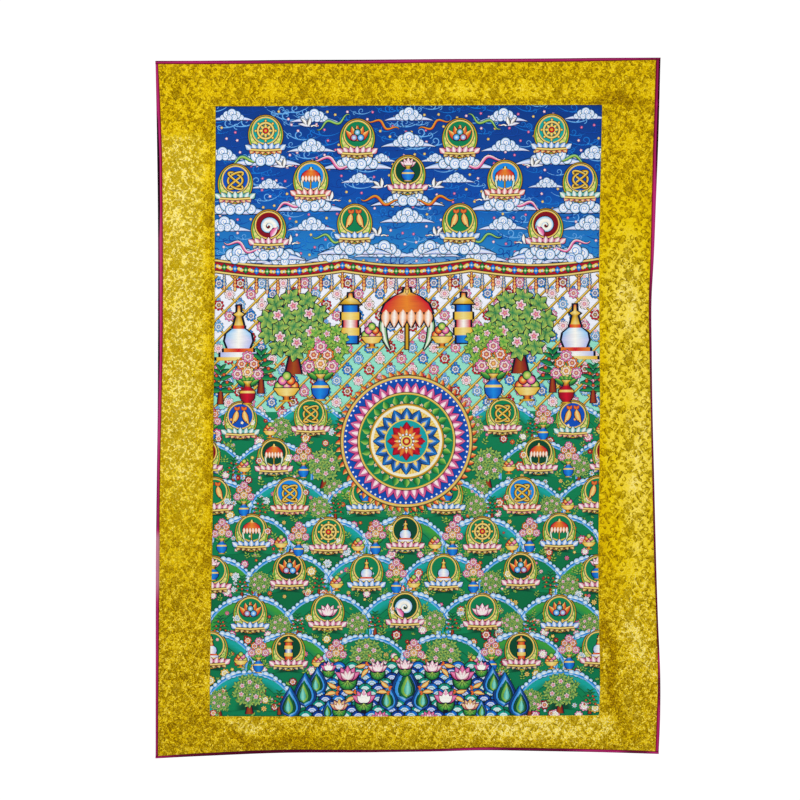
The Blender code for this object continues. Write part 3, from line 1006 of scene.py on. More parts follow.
def damask_figures(matte):
    """The repeat laid over each strip, cut off at its edges."""
    repeat = damask_repeat()
    starts = {
        "brocade_top": (9, 31), "brocade_bottom": (-14, 12), "brocade_left": (9, 31),
        "brocade_right": (21, 47)
    }
    regions = {
        "brocade_top": ("left_seam", "right_seam", "top_seam", "picture_top"),
        "brocade_bottom": ("left_seam", "right_seam", "picture_bottom", "bottom_seam"),
        "brocade_left": ("left_seam", "picture_left", "picture_top", "picture_bottom"),
        "brocade_right": ("picture_right", "right_seam", "picture_top", "picture_bottom"),
    }
    made = {}
    for node, (left, right, top, bottom) in regions.items():
        low, high = (np.array(corner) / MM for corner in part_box(node))
        first = np.floor((low[0] - starts[node][0]) / REPEAT_WIDE)
        last = np.ceil((high[0] - starts[node][0]) / REPEAT_WIDE)
        copies = []
        for column in np.arange(first, last + 1):
            drop = starts[node][1] + (column % 2) * REPEAT_TALL / 2
            rows = np.arange(
                np.floor((-high[2] - drop) / REPEAT_TALL), np.ceil((-low[2] - drop) / REPEAT_TALL) + 1
            )
            for row in rows:
                place = (starts[node][0] + column * REPEAT_WIDE, -(drop + row * REPEAT_TALL))
                copies.append(repeat.moved(*place, flip=(column + row) % 2 == 1))
        figure = joined(copies)
        across, down, lift = figure.points[:, 0], -figure.points[:, 1], figure.points[:, 2]
        inner_across = np.clip(across, side_edge(left, down) + 0.5, side_edge(right, down) - 0.5)
        inner_down = np.clip(down, hem_edge(top, across) + 0.5, hem_edge(bottom, across) - 0.5)
        moved = np.hypot(inner_across - across, inner_down - down)
        faces = figure.faces[(moved[figure.faces] < 6).all(axis=1)]
        faces = facing_viewer(inner_across, inner_down, faces)
        height = brocade_front(inner_across, inner_down) + FIGURE_LIFT + lift
        kept, faces = np.unique(faces, return_inverse=True)
        points = hung(inner_across, inner_down, height)[kept]
        values = {
            **cloth_values(inner_across[kept], inner_down[kept]),
            # shade is 1 at the figure's tone b points, where its material paints a shade line
            "shade": (figure.tones[kept] == TONES.index("b")).astype(float),
        }
        name = node.replace("brocade", "damask_figure")
        made[node] = add_piece(
            name, points, faces.reshape(-1, 3), [matte], values=values
        )
    return made


# The woven picture is a generic garden of treasures: clouds, haloed lotus seats, a lotus wheel,
# trellis, flowers, waves and rocks. Each motif is drawn once, upright, about its own middle.


def lotus():
    """A lotus blossom from the side."""
    return joined([
        fan(petal(7, 3.4, tones=("forest", "leaf", "forest"), ink=0.4), (-80, 80)),
        fan(petal(11, 5.4, tones=("rose", "b", "rose"), ink=0.4), (-58, 58, -30, 30)).moved(lift=0.06),
        fan(petal(11, 5.6, tones=("a", "b", "a"), ink=0.4), (0,)).moved(lift=0.1),
        fan(petal(7.6, 4.6, tones=("a", "white", "a"), ink=0.4), (-44, 44, -16, 16)).moved(lift=0.16),
    ])


def lotus_seat():
    """Two rows of petals on a ribboned base, 34 mm wide."""
    upper = joined([
        petal(
            7.5, 6, -x * 1.6, ("a", "white", "a"), ink=0.4
        ).moved(x, 0, -x * 2.2, lift=0.05 - abs(x) * 0.002)
        for x in (-15, 15, -10, 10, -5, 5, 0)
    ])
    lower = joined([
        petal(5.5, 5.6, x * 1.4, ("b", "straw", "b"), ink=0.4).moved(x, 1, 180 + x * 2, lift=0.02)
        for x in (-12.5, 12.5, -7.5, 7.5, -2.5, 2.5)
    ])
    rim = ribbon([(-15, 0.4), (0, -0.6), (15, 0.4)], 1.8, ("gold", "straw", "gold"), ink=0.4).moved(lift=0.12)
    return joined([upper, lower, rim])


def rayed_halo(radius, height, rays):
    """An oval of alternate light and dark rays inside a gold rim."""
    angle = np.linspace(0, 2 * np.pi, rays * 2 + 1)
    inner = np.linspace(0, 0.88, int(radius / LONGEST_EDGE) + 2)
    share = np.concatenate([inner, [0.88, 0.95, 0.95, 1]])[:, None]
    ray = np.where(np.arange(rays * 2 + 1) % 2, TONES.index("a"), TONES.index("straw"))
    rim = [np.full(rays * 2 + 1, TONES.index(name)) for name in ("b", "b", "gold", "ochre")]
    tone = np.stack([ray] * len(inner) + rim)
    shape = grid_motif(radius * share * np.cos(angle), height * share * np.sin(angle), 0.0, tone)
    under = grid_motif(
        (radius + 0.6) * share * np.cos(angle), (height + 0.6) * share * np.sin(angle), -INK_STEP, 3
    )
    return joined([under, shape])


def halo(radius):
    """A round ground behind a treasure, with a gold rim."""
    return rosette(
        [(0, "c"), (radius * 0.82, "b"), (radius * 0.9, "b"), (radius * 0.9, "gold"), (radius, "straw")], 28,
        ink=0.5
    )


def jewel():
    """Three gems in flames."""
    flames = fan(petal(15, 6, 25, ("red", "orange", "straw"), ink=0.4), (-62, -36, -12))
    flames = joined([flames, flames.moved(flip=True, lift=0.04)]).moved(0, -3)
    gem = rosette([(0, "white"), (1.4, "sky"), (2.9, "a")], 14, ink=0.5)
    return joined([flames] + [gem.moved(x, y, lift=0.12, colours=(name,))
                              for x, y, name in ((-3.2, 0, "azure"), (3.2, 0, "red"), (0, 5, "emerald"))])


def wheel():
    """Eight spokes between a hub and a rim."""
    rim = ribbon(arc(0, 0, 7.4, 0, 360, 29), 2.2, ("gold", "straw", "ochre"), ink=0.4)
    spokes = around(petal(8, 2.6, 0, ("gold", "straw", "gold"), ink=0.3), 8)
    knobs = around(rosette([(0, "straw"), (1.1, "gold")], 8, ink=0.3), 8, 9.6)
    hub = rosette([(0, "gold"), (1.2, "gold"), (1.2, "red"), (2.4, "red")], 14, ink=0.4)
    return joined([spokes, rim.moved(lift=0.06), knobs.moved(lift=0.06), hub.moved(lift=0.12)]).moved(0, 3)


def conch():
    """A shell: a spiral that widens to its mouth."""
    path = arc(0, 2, (1.0, 7.0), 0, 560, 34)
    coil = ribbon(path, np.linspace(1.0, 6.6, 34), ("sky", "white", "cream"), ink=0.5)
    mouth = petal(12, 5.4, 30, ("rose", "pink", "white"), ink=0.5).moved(-2, -8, 20, lift=0.08)
    return joined([coil, mouth])


def vase():
    """A treasure vase with a lotus in its neck."""
    body = silhouette([
        (-7, 3.4, "ochre", "gold"), (-6, 3.8, "ochre", "gold"), (-6, 2.6, "a", "b"), (-3, 5.2, "a", "b"),
        (0, 6.0, "a", "b"), (0.2, 6.0, "gold", "straw"), (1.6, 5.6, "gold", "straw"), (1.6, 5.6, "a", "b"),
        (4, 3.2, "a", "b"), (5, 1.9, "ochre", "gold"), (7, 2.0, "ochre", "gold"), (8, 3.4, "gold", "straw"),
    ])
    return joined([lotus().moved(0, 7, size=0.8, colours=("pink", "white")), body.moved(lift=0.3)])


def parasol():
    """A domed parasol with a pleated skirt, on a pole with streamers."""
    pole = silhouette([(-10, 0.5, "ochre", "gold"), (8, 0.5, "ochre", "gold")], 0.3)
    dome = silhouette(
        [
            (3, 9, "a", "b"), (6, 7.6, "a", "b"), (8.6, 4.4, "a", "b"), (10, 1.2, "gold", "straw"),
            (12, 0.7, "gold", "straw")
        ]
    )
    pleats = [
        petal(6.4, 3.2, 0, ("b", "white", "b"), ink=0.35).moved(x, 4, 180, lift=0.06)
        for x in np.linspace(-7.5, 7.5, 6)
    ]
    streamer = petal(14, 2.2, 50, ("c", "white", "c"), ink=0.3).moved(-8, 3, 160)
    return joined([pole, dome.moved(lift=0.05), streamer, streamer.moved(flip=True)] + pleats)


def banner():
    """A round banner of striped tiers."""
    rows = []
    for i, (edge, middle) in enumerate(
        (("a", "b"), ("gold", "straw"), ("c", "white"), ("gold", "straw"), ("a", "b"))
    ):
        rows += [
            (-9 + i * 3.6, 3.2 + (i % 2) * 0.9, edge, middle),
            (-5.6 + i * 3.6, 3.2 + (i % 2) * 0.9, edge, middle)
        ]
    top = silhouette(
        [
            (9, 5, "ochre", "gold"), (11, 3, "gold", "straw"), (12, 1, "gold", "straw"),
            (14, 0.8, "red", "orange")
        ]
    )
    return joined([silhouette(rows), top.moved(lift=0.05)])


def endless_knot():
    """One band that crosses itself: right = 7 sin 3t, up = 8 sin 2t."""
    t = np.linspace(0, 2 * np.pi, 61) + 0.26
    lift = 0.08 * np.sin(5 * t)
    band = ribbon(
        np.stack([7 * np.sin(3 * t), 8 * np.sin(2 * t)], axis=1), 1.9, ("ochre", "gold", "straw"), ink=0.45
    )
    band.points[:, 2] += np.concatenate([np.repeat(lift, 2), np.repeat(lift, 3)])
    return band.moved(0, 2, lift=0.1)


def fishes():
    """A pair of fishes, side by side and head down."""
    body = petal(15, 5.6, 35, ("a", "b", "a"), ink=0.5)
    tail = fan(petal(4.6, 3.2, 0, ("red", "orange", "red"), ink=0.3), (-35, 35)).moved(0, 0, 180)
    eye = rosette([(0, "ink"), (0.6, "ink")], 8).moved(-2.6, 11.5, lift=0.06)
    fish = joined([body, tail, eye]).moved(3.5, 9, 180)
    return joined([fish, fish.moved(flip=True, lift=0.1)])


def stupa():
    """A stepped white dome with a ringed gold spire."""
    return silhouette([
        (-10, 9, "gold", "straw"), (-8.6, 9, "gold", "straw"), (-8.6, 7.4, "lilac", "white"),
        (-6.6, 7.4, "lilac", "white"), (-6.6, 6, "a", "b"), (-5, 6, "a", "b"), (-5, 4.4, "lilac", "white"),
        (-2, 5.6, "lilac", "white"), (1, 5, "sky", "white"), (3, 2.6, "sky", "white"),
        (3, 2.2, "red", "orange"), (4.4, 2.2, "red", "orange"), (4.4, 1.9, "gold", "straw"),
        (8, 1.0, "ochre", "gold"), (9, 2.2, "gold", "straw"), (10, 0.6, "gold", "straw"),
        (12.5, 0.5, "red", "orange"),
    ])


def treasure_seat(treasure, colours=()):
    """A treasure before two haloes, on a lotus seat; a and b colour the seat, c the halo."""
    return joined([
        rayed_halo(17.5, 20, 22).moved(0, 1, colours=("lime", "leaf")),
        halo(14).moved(0, 5.4, lift=0.06, colours=("a", "c", "c")),
        treasure.moved(0, 2, size=1.05, lift=0.14, colours=colours),
        lotus_seat().moved(0, -14, lift=0.5),
    ])


def cloud():
    """Billows with curled lines and long trailing ends."""
    trail = petal(36, 7, 30, ("azure", "cloud", "lilac"), 12, 0.55, ink=0.5).moved(-4, -6, 78)
    curl = ribbon(arc(0, 0, (5.2, 1.2), -40, 400, 15), 0.9, ("azure",) * 3)
    billow = joined([rosette([(0, "white"), (5.4, "cloud"), (8, "sky")], 18, ink=0.6), curl.moved(lift=0.04)])
    spots = (
        (-17, -3, 0.62), (17, -3, 0.62), (-9, 2, 0.86), (9, 2, 0.86), (0, 5, 1.0), (-4.5, -3, 0.7),
        (5, -3.6, 0.66)
    )
    puffs = [
        billow.moved(x, y, size=size, flip=x > 0, lift=0.1 + 0.09 * i) for i, (x, y, size) in enumerate(spots)
    ]
    return joined([trail, trail.moved(flip=True, lift=0.04)] + puffs)


def peony():
    """Three rings of lobed petals."""
    outer = rosette([(3.6, "a"), (8.2, "b")], 24, 8, 0.24, 0.5)
    middle = rosette([(2, "a"), (5.6, "white")], 18, 6, 0.24, 0.4).moved(turn=20, lift=0.06)
    heart = rosette([(0, "straw"), (2.8, "a")], 10, 5, 0.24, 0.3).moved(lift=0.12)
    return joined([outer, middle, heart])


def blossom():
    """Five round petals: a lobed rosette about a pale eye."""
    return rosette([(0, "straw"), (1.0, "a"), (3.2, "b")], 15, 5, 0.45, 0.4)


def daisy():
    """Seven narrow petals round an orange eye."""
    rays = around(petal(4.2, 2.3, 0, ("a", "b"), 4, ink=0.3), 7, 0.8)
    return joined([rays, rosette([(0, "straw"), (1.4, "orange")], 8, ink=0.3).moved(lift=0.06)])


def leaf_sprig():
    """Five leaves on a stalk."""
    leaf = petal(6.4, 3.0, 12, ("a", "b"), 4, 0.7, ink=0.3)
    stalk = ribbon([(0, -4), (0.4, 0), (0, 5)], 0.7, ("forest", "forest"))
    leaves = [leaf.moved(0, up, turn, size, flip, 0.04) for up, turn, size, flip in (
        (4, 0, 1, False), (1, 52, 0.95, False), (1, -52, 0.95, True), (-2.6, 66, 0.8, False),
        (-2.6, -66, 0.8, True),
    )]
    return joined([stalk] + leaves)


def leaf_tuft():
    """Three leaves spread like a fan."""
    return fan(petal(5.6, 2.4, 0, ("a", "b"), 4, 0.7, ink=0.3), (-48, 0, 48))


def round_tree():
    """A crown of leaf rosettes with blossoms, on a forked trunk."""
    trunk = silhouette(
        [(-22, 3.6, "crimson", "rust"), (-14, 1.8, "crimson", "rust"), (0, 1.4, "crimson", "rust")]
    )
    leafage = around(petal(5, 3.2, 0, ("a", "b"), 4, ink=0.3), 6)
    spots = [(0, 0)] + [tuple(p) for p in arc(0, 0, 7, 0, 300, 6)] + [
        tuple(p) for p in arc(0, 1, 12.5, 10, 340, 10)
    ]
    parts = [leafage.moved(x, y, 31 * i, lift=0.05 + 0.05 * (i % 4)) for i, (x, y) in enumerate(spots)]
    blooms = [blossom().moved(x, y, 40 * i, 0.8, lift=0.34, colours=("rose", "white"))
              for i, (x, y) in enumerate(arc(0, 1, 8.6, 30, 318, 6))]
    return joined([trunk] + parts + blooms)


def fruit_tree():
    """A pointed tree of drooping boughs."""
    trunk = silhouette([(-20, 2.6, "crimson", "rust"), (-8, 1.2, "crimson", "rust")])
    bough = petal(13, 4.6, 40, ("forest", "a", "b"), 7, 0.7, ink=0.4)
    rows = [(-8, 72, 1.0), (-3, 60, 0.95), (2, 48, 0.86), (7, 34, 0.72), (11, 18, 0.6)]
    parts = [bough.moved(0, up, turn, size, lift=0.05 * i) for i, (up, turn, size) in enumerate(rows)]
    parts += [part.moved(flip=True, lift=0.02) for part in parts]
    fruit = [rosette([(0, "orange"), (1.3, "red")], 9, ink=0.3).moved(x, y, lift=0.36)
             for x, y in ((-8, -6), (8, -6), (-6, 0), (6, 1), (0, -4), (-3, 7), (4, 6))]
    return joined([trunk] + parts + fruit)


def crane():
    """A white bird in flight."""
    body = petal(15, 3.6, -16, ("lilac", "white", "lilac"), 8, 0.75, ink=0.4).moved(0, 0, -78)
    wing = petal(11, 4.6, -30, ("ink", "white", "cloud"), 7, ink=0.4)
    neck = ribbon([(-1, 0), (-4, 1.6), (-8, 1.2), (-10, 2)], (1.6, 1.2, 1.0, 0.6), ("white",) * 3, ink=0.35)
    cap = rosette([(0, "red"), (0.9, "red")], 8).moved(-8.4, 1.6, lift=0.05)
    return joined([body, neck, cap, wing.moved(3, 0, 24, lift=0.06), wing.moved(5, 1, -28, 0.9, lift=0.03)])


def scarf():
    """A floating scarf in three long waves."""
    along = np.linspace(-24, 24, 30)
    path = np.stack([along, 4 * np.sin(along / 4.4)], axis=1)
    return ribbon(path, 3.2 * np.cos(along / 17), ("a", "b", "c"), ink=0.4)


def wave():
    """A half-round wave scale of nested rings."""
    rings = ((0, "b"), (3.4, "cloud"), (3.5, "a"), (6.4, "cloud"), (6.5, "b"), (10.6, "c"))
    radius = np.array([ring[0] for ring in rings])[:, None]
    angle = np.linspace(-0.15, np.pi + 0.15, 10)
    shape = grid_motif(
        radius * np.cos(angle), radius * np.sin(angle), 0.0,
        tone_numbers([ring[1] for ring in rings])[:, None]
    )
    return joined([ribbon(arc(0, 0, 10.8, -10, 190, 10), 1.2, ("ink",) * 3), shape])


def rock():
    """A banded peak with a pale ridge."""
    bands = [
        petal(46 - 7 * i, 30 - 5.5 * i, 0, tones, 9, 0.62, 0.6).moved(0.8 * i, 2 * i, lift=0.05 * i)
        for i, tones in enumerate((
            ("navy", "azure", "navy"), ("royal", "sky", "azure"), ("forest", "emerald", "forest"),
            ("emerald", "lime", "leaf"), ("teal", "mint", "teal"),
        ))
    ]
    return joined(bands)


def lily_pad():
    """A round leaf with nine veins."""
    return joined([
        rosette([(0, "lime"), (5, "leaf"), (7, "forest")], 22, ink=0.5),
        around(ribbon([(0, 1), (0, 6)], 0.5, ("forest",) * 3), 9).moved(lift=0.05),
    ])


def mound():
    """A green hill, 120 mm wide, with a narrow rim of blue and white cloud."""
    angle = np.linspace(-0.1, np.pi + 0.1, 25)
    share = np.linspace(0, 1, 7)[:, None]
    tone = np.where(
        share < 0.3, TONES.index("forest"), np.where(share < 0.8, TONES.index("a"), TONES.index("b"))
    )
    hill = grid_motif(60 * share * np.cos(angle), 50 * share * np.sin(angle), 0.0, tone)
    edge = np.stack([60 * np.cos(angle), 50 * np.sin(angle)], axis=1)
    mist = ribbon(edge * 0.955, 4.6, ("forest", "azure", "sky"), ink=0.0)
    puff = rosette([(0, "white"), (3.4, "sky")], 9, ink=0.4)
    ways = np.linspace(-0.02, np.pi + 0.02, 27)
    rim = [
        puff.moved(
            59 * np.cos(way), 49 * np.sin(way), size=0.8 + 0.5 * np.sin(4 * way) ** 2,
            lift=0.06 + 0.02 * (i % 3),
        )
        for i, way in enumerate(ways)
    ]
    fold = [
        ribbon(
            arc(0, -8, size, 35, 145, 12), 1.3 * np.sin(np.linspace(0.2, 2.9, 12)), ("forest",) * 3
        ).moved(lift=0.05)
        for size in (36, 43)
    ]
    return joined([hill, mist.moved(lift=0.03)] + rim + fold)


def fruit_bowl():
    """A footed gold bowl heaped with fruit and leaves."""
    bowl = silhouette([
        (-9, 5, "ochre", "gold"), (-7.6, 5, "ochre", "gold"), (-7.6, 2, "rust", "orange"),
        (-5, 2, "rust", "orange"), (-4, 6, "a", "b"), (0, 9, "a", "b"), (0, 9.6, "gold", "straw"),
        (1.6, 9.6, "gold", "straw"),
    ])
    fruit = rosette([(0, "straw"), (1.8, "a"), (3.2, "b")], 14, ink=0.5)
    spots = ((-6, 3.4), (0, 3.6), (6, 3.4), (-3.2, 7.4), (3.2, 7.4), (0, 11))
    tints = (("orange", "red"), ("pink", "rose"), ("lime", "leaf"))
    heap = [fruit.moved(x, y, lift=0.06 + 0.03 * i, colours=tints[i % 3]) for i, (x, y) in enumerate(spots)]
    leaves = fan(petal(8, 4, 0, ("forest", "leaf", "forest"), ink=0.4), (-78, -40, 40, 78)).moved(0, 5)
    return joined([leaves] + heap + [bowl.moved(lift=0.3)])


def flower_vase():
    """A vase with a spray of peonies and leaves."""
    leaf = petal(13, 5.4, 20, ("forest", "leaf", "lime"), ink=0.4)
    leaves = fan(leaf, (-75, -48, -20)).moved(0, 5)
    blooms = [
        peony().moved(x, y, 20 * i, 0.72, lift=0.1 + 0.06 * i, colours=tint)
        for i, (x, y, tint) in enumerate((
            (-10, 16, ("rose", "pink")), (10, 16, ("rose", "pink")), (-6, 26, ("red", "orange")),
            (6, 26, ("red", "orange")), (0, 18, ("orange", "straw")), (0, 33, ("rose", "pink")),
        ))
    ]
    body = silhouette([
        (-14, 4.4, "ochre", "gold"), (-12.6, 4.4, "ochre", "gold"), (-12.6, 2.8, "a", "b"),
        (-8, 6.6, "a", "b"), (-3, 7.4, "a", "b"), (-2.8, 7.4, "gold", "straw"), (-0.6, 6.8, "gold", "straw"),
        (-0.6, 6.8, "a", "b"), (3, 3, "a", "b"), (6, 2.2, "ochre", "gold"), (9, 4.4, "gold", "straw"),
    ])
    stems = [
        ribbon([(0, 6), (x * 0.4, 14), (x, y)], 0.9, ("leaf",) * 3)
        for x, y in ((-10, 16), (10, 16), (-6, 26), (6, 26), (0, 33))
    ]
    return joined(stems + [leaves, leaves.moved(flip=True, lift=0.04)] + blooms + [body.moved(lift=0.5)])


def sky_curl():
    """A pair of thin curls, like those of drawn cloud or water."""
    curl = ribbon(arc(0, 5, (5.5, 1.4), -90, 270, 14), np.linspace(1.5, 0.7, 14), ("a", "b"))
    tail = ribbon(arc(0, 30, 30.5, -90, -50, 5), np.linspace(1.5, 0.3, 5), ("a", "b"))
    return joined([curl, curl.moved(11, -1.6, size=0.7, lift=0.02), tail.moved(flip=True), tail])


def flame_ring(radius, count):
    """Bent flames round a ring of this radius."""
    return around(petal(14, 8, 30, ("red", "orange", "straw"), 7, ink=0.4), count, radius)


def lotus_wheel():
    """The round middle of the picture: rings of petals, pearls and rays about a red lotus."""
    pearls = rosette([(0, "white"), (1.5, "cloud"), (1.9, "lilac")], 9, ink=0.3)
    return joined([
        flame_ring(112, 56),
        rosette([(60, "gold"), (113, "gold"), (113, "straw"), (116, "ochre")], 110, ink=0.8).moved(lift=0.1),
        rosette([(60, "navy"), (111, "royal")], 110).moved(lift=0.14),
        around(pearls, 72, 108).moved(lift=0.18),
        around(petal(22, 14.5, 0, ("rose", "pink", "rose"), 9, 0.75, 0.6), 40, 82).moved(lift=0.2),
        around(petal(17, 9, 0, ("pink", "white", "pink"), 8, 0.75, 0.4), 40, 82).moved(lift=0.28),
        rosette([(60, "gold"), (84, "gold"), (84, "straw"), (86, "ochre")], 90, ink=0.6).moved(lift=0.36),
        rosette([(40, "emerald"), (82.5, "emerald")], 90).moved(lift=0.38),
        around(petal(15, 12, 0, ("forest", "leaf", "lime"), 7, ink=0.4), 24, 66).moved(lift=0.4),
        around(blossom(), 24, 68, 7.5).moved(lift=0.46, colours=("orange", "white")),
        rayed_halo(66, 66, 72).moved(lift=0.5, colours=("gold", "cream")),
        around(petal(25, 19, 0, ("navy", "azure", "navy"), 9, 0.75, 0.6), 16, 34).moved(lift=0.56),
        around(petal(19, 12, 0, ("royal", "sky", "royal"), 8, 0.75, 0.4), 16, 34).moved(lift=0.64),
        around(petal(12, 6, 0, ("gold", "straw", "gold"), 7, 0.75, 0.3), 16, 36).moved(lift=0.7),
        rosette([(0, "azure"), (37, "teal"), (37, "gold"), (39, "straw")], 56, ink=0.6).moved(lift=0.74),
        around(petal(25, 17, 0, ("crimson", "red", "crimson"), 9, 0.75, 0.6), 8, 9).moved(lift=0.78),
        around(petal(20, 11, 0, ("red", "orange", "red"), 8, 0.75, 0.4), 8, 9, 22.5).moved(lift=0.84),
        around(petal(13, 6, 0, ("orange", "straw", "orange"), 7, 0.75, 0.3), 8, 9).moved(lift=0.9),
        rosette(
            [(0, "straw"), (4, "gold"), (4, "red"), (7, "crimson"), (7, "gold"), (10, "straw")], 30, ink=0.5
        ).moved(lift=0.96),
        around(pearls, 12, 12.4).moved(lift=1.0),
    ])


def band_cell():
    """One 16 mm cell of a jewelled band: a lozenge between two petals, with a bead at its joint."""
    lozenge = rosette([(0, "white"), (2.2, "a"), (5, "b")], 4, ink=0.5)
    leaf = petal(7, 5, 0, ("gold", "straw", "gold"), 6, ink=0.3)
    return joined([
        lozenge, leaf.moved(2.6, 0, -90, lift=0.05), leaf.moved(-2.6, 0, 90, lift=0.05),
        rosette([(0, "white"), (1.4, "sky")], 8, ink=0.4).moved(8, 0, lift=0.1),
    ])


def bead_string():
    """A hanging string of beads."""
    beads = [
        rosette([(0, "straw"), (r, "a")], 9, ink=0.3).moved(0, -y)
        for y, r in ((1, 1.0), (3.4, 1.2), (6.2, 1.6), (9.6, 2.0))
    ]
    return joined(
        [ribbon([(0, 0), (0, -12)], 0.4, ("gold",) * 3)] + beads + [
            petal(5, 2.6, 0, ("b", "straw", "b"), 5, ink=0.3).moved(0, -11, 180)
        ]
    )


# The design is laid out on a sheet 572 mm wide and 902 mm tall. Places are (right of its middle
# line, down from its top); whatever is placed off the middle is mirrored on the other side.
DESIGN_WIDE = 572.0
DESIGN_TALL = 902.0
TUCK = 1.5  # how far the design runs under the brocade
WHEEL_DOWN = 496.0
WHEEL_SIZE = 0.84
LIFT_BASE = 0.1
LIFT_SHARE = 0.36
SEAT_COLOURS = (
    ("rose", "crimson", "emerald"), ("azure", "red", "teal"), ("rose", "navy", "forest"),
    ("red", "rose", "azure"), ("teal", "rose", "royal"), ("azure", "crimson", "emerald"),
    ("rose", "royal", "crimson"),
)
SKY_SEATS = ((76, 50), (212, 44), (0, 104), (144, 112), (256, 116), (78, 176), (206, 184))
SKY_CLOUDS = (
    (144, 60, 0.8), (0, 52, 0.9), (276, 72, 0.8), (140, 16, 0.8), (0, 14, 0.8), (72, 108, 0.6),
    (206, 116, 0.6), (0, 164, 0.9), (142, 176, 0.8), (272, 176, 0.9), (34, 214, 1.0), (110, 222, 0.9),
    (176, 226, 1.0), (250, 222, 1.1), (262, 14, 0.7), (40, 78, 0.5),
)
# Hills of the garden: rows of (down, first place right of the middle, step, shrink)
HILL_ROWS = (
    (492, 142, 104, 0.96), (548, 196, 104, 1.0), (606, 60, 112, 1.06), (662, 0, 114, 1.08),
    (720, 57, 114, 1.1), (778, 0, 114, 1.12), (836, 57, 114, 1.12), (892, 228, 114, 1.12),
)


def on_picture(right, down):
    """The places on the cloth of a design's points, kept within its tucked edges."""
    right = np.clip(right / DESIGN_WIDE, -0.5 - TUCK / DESIGN_WIDE, 0.5 + TUCK / DESIGN_WIDE)
    share = np.clip(down, -TUCK, DESIGN_TALL + TUCK) / DESIGN_TALL
    rough = hem_edge("picture_top", 0.0) + share * DESIGN_TALL
    left, far = side_edge("picture_left", rough), side_edge("picture_right", rough)
    across = left + (right + 0.5) * (far - left)
    top, bottom = hem_edge("picture_top", across), hem_edge("picture_bottom", across)
    return across, top + share * (bottom - top)


def split_long(values, faces):
    """Halves each triangle at its longest edge while that is over LONGEST_EDGE, so that large
    shapes follow the cloth. A new point has the mean values of its edge's ends."""
    done = []
    while len(faces):
        edges = values[faces, :2] - values[np.roll(faces, -1, axis=1), :2]
        lengths = np.hypot(edges[..., 0], edges[..., 1])
        first = lengths.argmax(axis=1)[:, None]
        a, b, c = (np.take_along_axis(faces, (first + i) % 3, axis=1)[:, 0] for i in range(3))
        long = lengths.max(axis=1) > LONGEST_EDGE
        done.append(faces[~long])
        a, b, c = a[long], b[long], c[long]
        middle = len(values) + np.arange(len(a))
        values = np.concatenate([values, (values[a] + values[b]) / 2])
        faces = np.concatenate([np.stack([a, middle, c], axis=1), np.stack([middle, b, c], axis=1)])
    return values, np.concatenate(done)


def woven(name, placed, silk, base=0.0):
    """A piece of the picture from its placed motifs."""
    motif = joined(placed)
    tints = np.array([rgba(code) for code in PALETTE.values()])
    paint = tints[motif.tones - (len(TONES) - len(PALETTE))]
    values, faces = split_long(np.hstack([motif.points, paint]), motif.faces)
    across, down = on_picture(values[:, 0], -values[:, 1])
    faces = facing_viewer(across, down, faces)
    kept, faces = np.unique(faces, return_inverse=True)
    across, down, values = across[kept], down[kept], values[kept]
    height = picture_front(across, down) + LIFT_BASE + base + LIFT_SHARE * values[:, 2]
    points = hung(across, down, height)
    return add_piece(
        name, points, faces.reshape(-1, 3), [silk], values={"paint": values[:, 3:]}
    )


def both_sides(motif, right, down, **settings):
    """A motif at a place, and its mirror image where that isn't on the middle line."""
    placed = [motif.moved(right, -down, **settings)]
    if right:
        turn = -settings.pop("turn", 0.0)
        placed.append(motif.moved(-right, -down, turn=turn, flip=True, **settings))
    return placed


def treasures():
    """The treasures with their own colours, in the order in which the seats take them."""
    return (
        treasure_seat(jewel()), treasure_seat(wheel()), treasure_seat(vase(), ("royal", "azure")),
        treasure_seat(parasol(), ("red", "orange", "leaf")), treasure_seat(endless_knot()),
        treasure_seat(fishes(), ("orange", "straw")), treasure_seat(conch()),
        treasure_seat(banner(), ("red", "orange", "royal")),
        treasure_seat(lotus().moved(0, -4, size=1.1), ("pink", "white")),
        treasure_seat(stupa(), ("orange", "red")),
    )


def sky(seats):
    """Clouds that carry treasures, with cranes and scarves between them."""
    placed = []
    billows = cloud()
    for i, (right, down, size) in enumerate(SKY_CLOUDS):
        placed += both_sides(billows, right, down, size=size * 1.15, lift=0.1 * (i % 2))
    for i, (right, down) in enumerate(SKY_SEATS):
        placed += both_sides(billows, right, down + 32, size=1.4, lift=0.6 + 0.1 * (i % 2))
        placed += both_sides(
            seats[i % len(seats)], right, down, size=1.48, lift=1.3, colours=SEAT_COLOURS[i % 7]
        )
    for right, down, turn, size in (
        (110, 84, 16, 1.4), (238, 78, -12, 1.3), (40, 140, 10, 1.2), (174, 146, -14, 1.2),
        (112, 24, -18, 1.1), (244, 208, 20, 1.2), (38, 28, 22, 1.0), (114, 196, 12, 1.1),
    ):
        tint = (
            ("red", "orange", "gold"), ("leaf", "lime", "teal"), ("rose", "pink", "white")
        )[int(right + down) % 3]
        placed += both_sides(scarf(), right, down, turn=turn, size=size, lift=1.0, colours=tint)
    for right, down, turn in (
        (146, 30, 8), (36, 120, -6), (182, 90, 0), (112, 140, 10), (172, 204, 4), (40, 192, 10)
    ):
        placed += both_sides(crane(), right, down, turn=turn, size=1.25, lift=1.2)
    return placed


def field(left, right, top, bottom, name, name_low):
    """A plain field whose tone runs from one colour at its top to another at its foot."""
    across = np.linspace(left, right, int((right - left) / 6) + 1)
    down = np.linspace(top, bottom, int((bottom - top) / 6) + 1)[:, None]
    tone = np.where(down < (top + bottom) / 2, TONES.index(name), TONES.index(name_low))
    return grid_motif(across, -down, 0.0, tone)


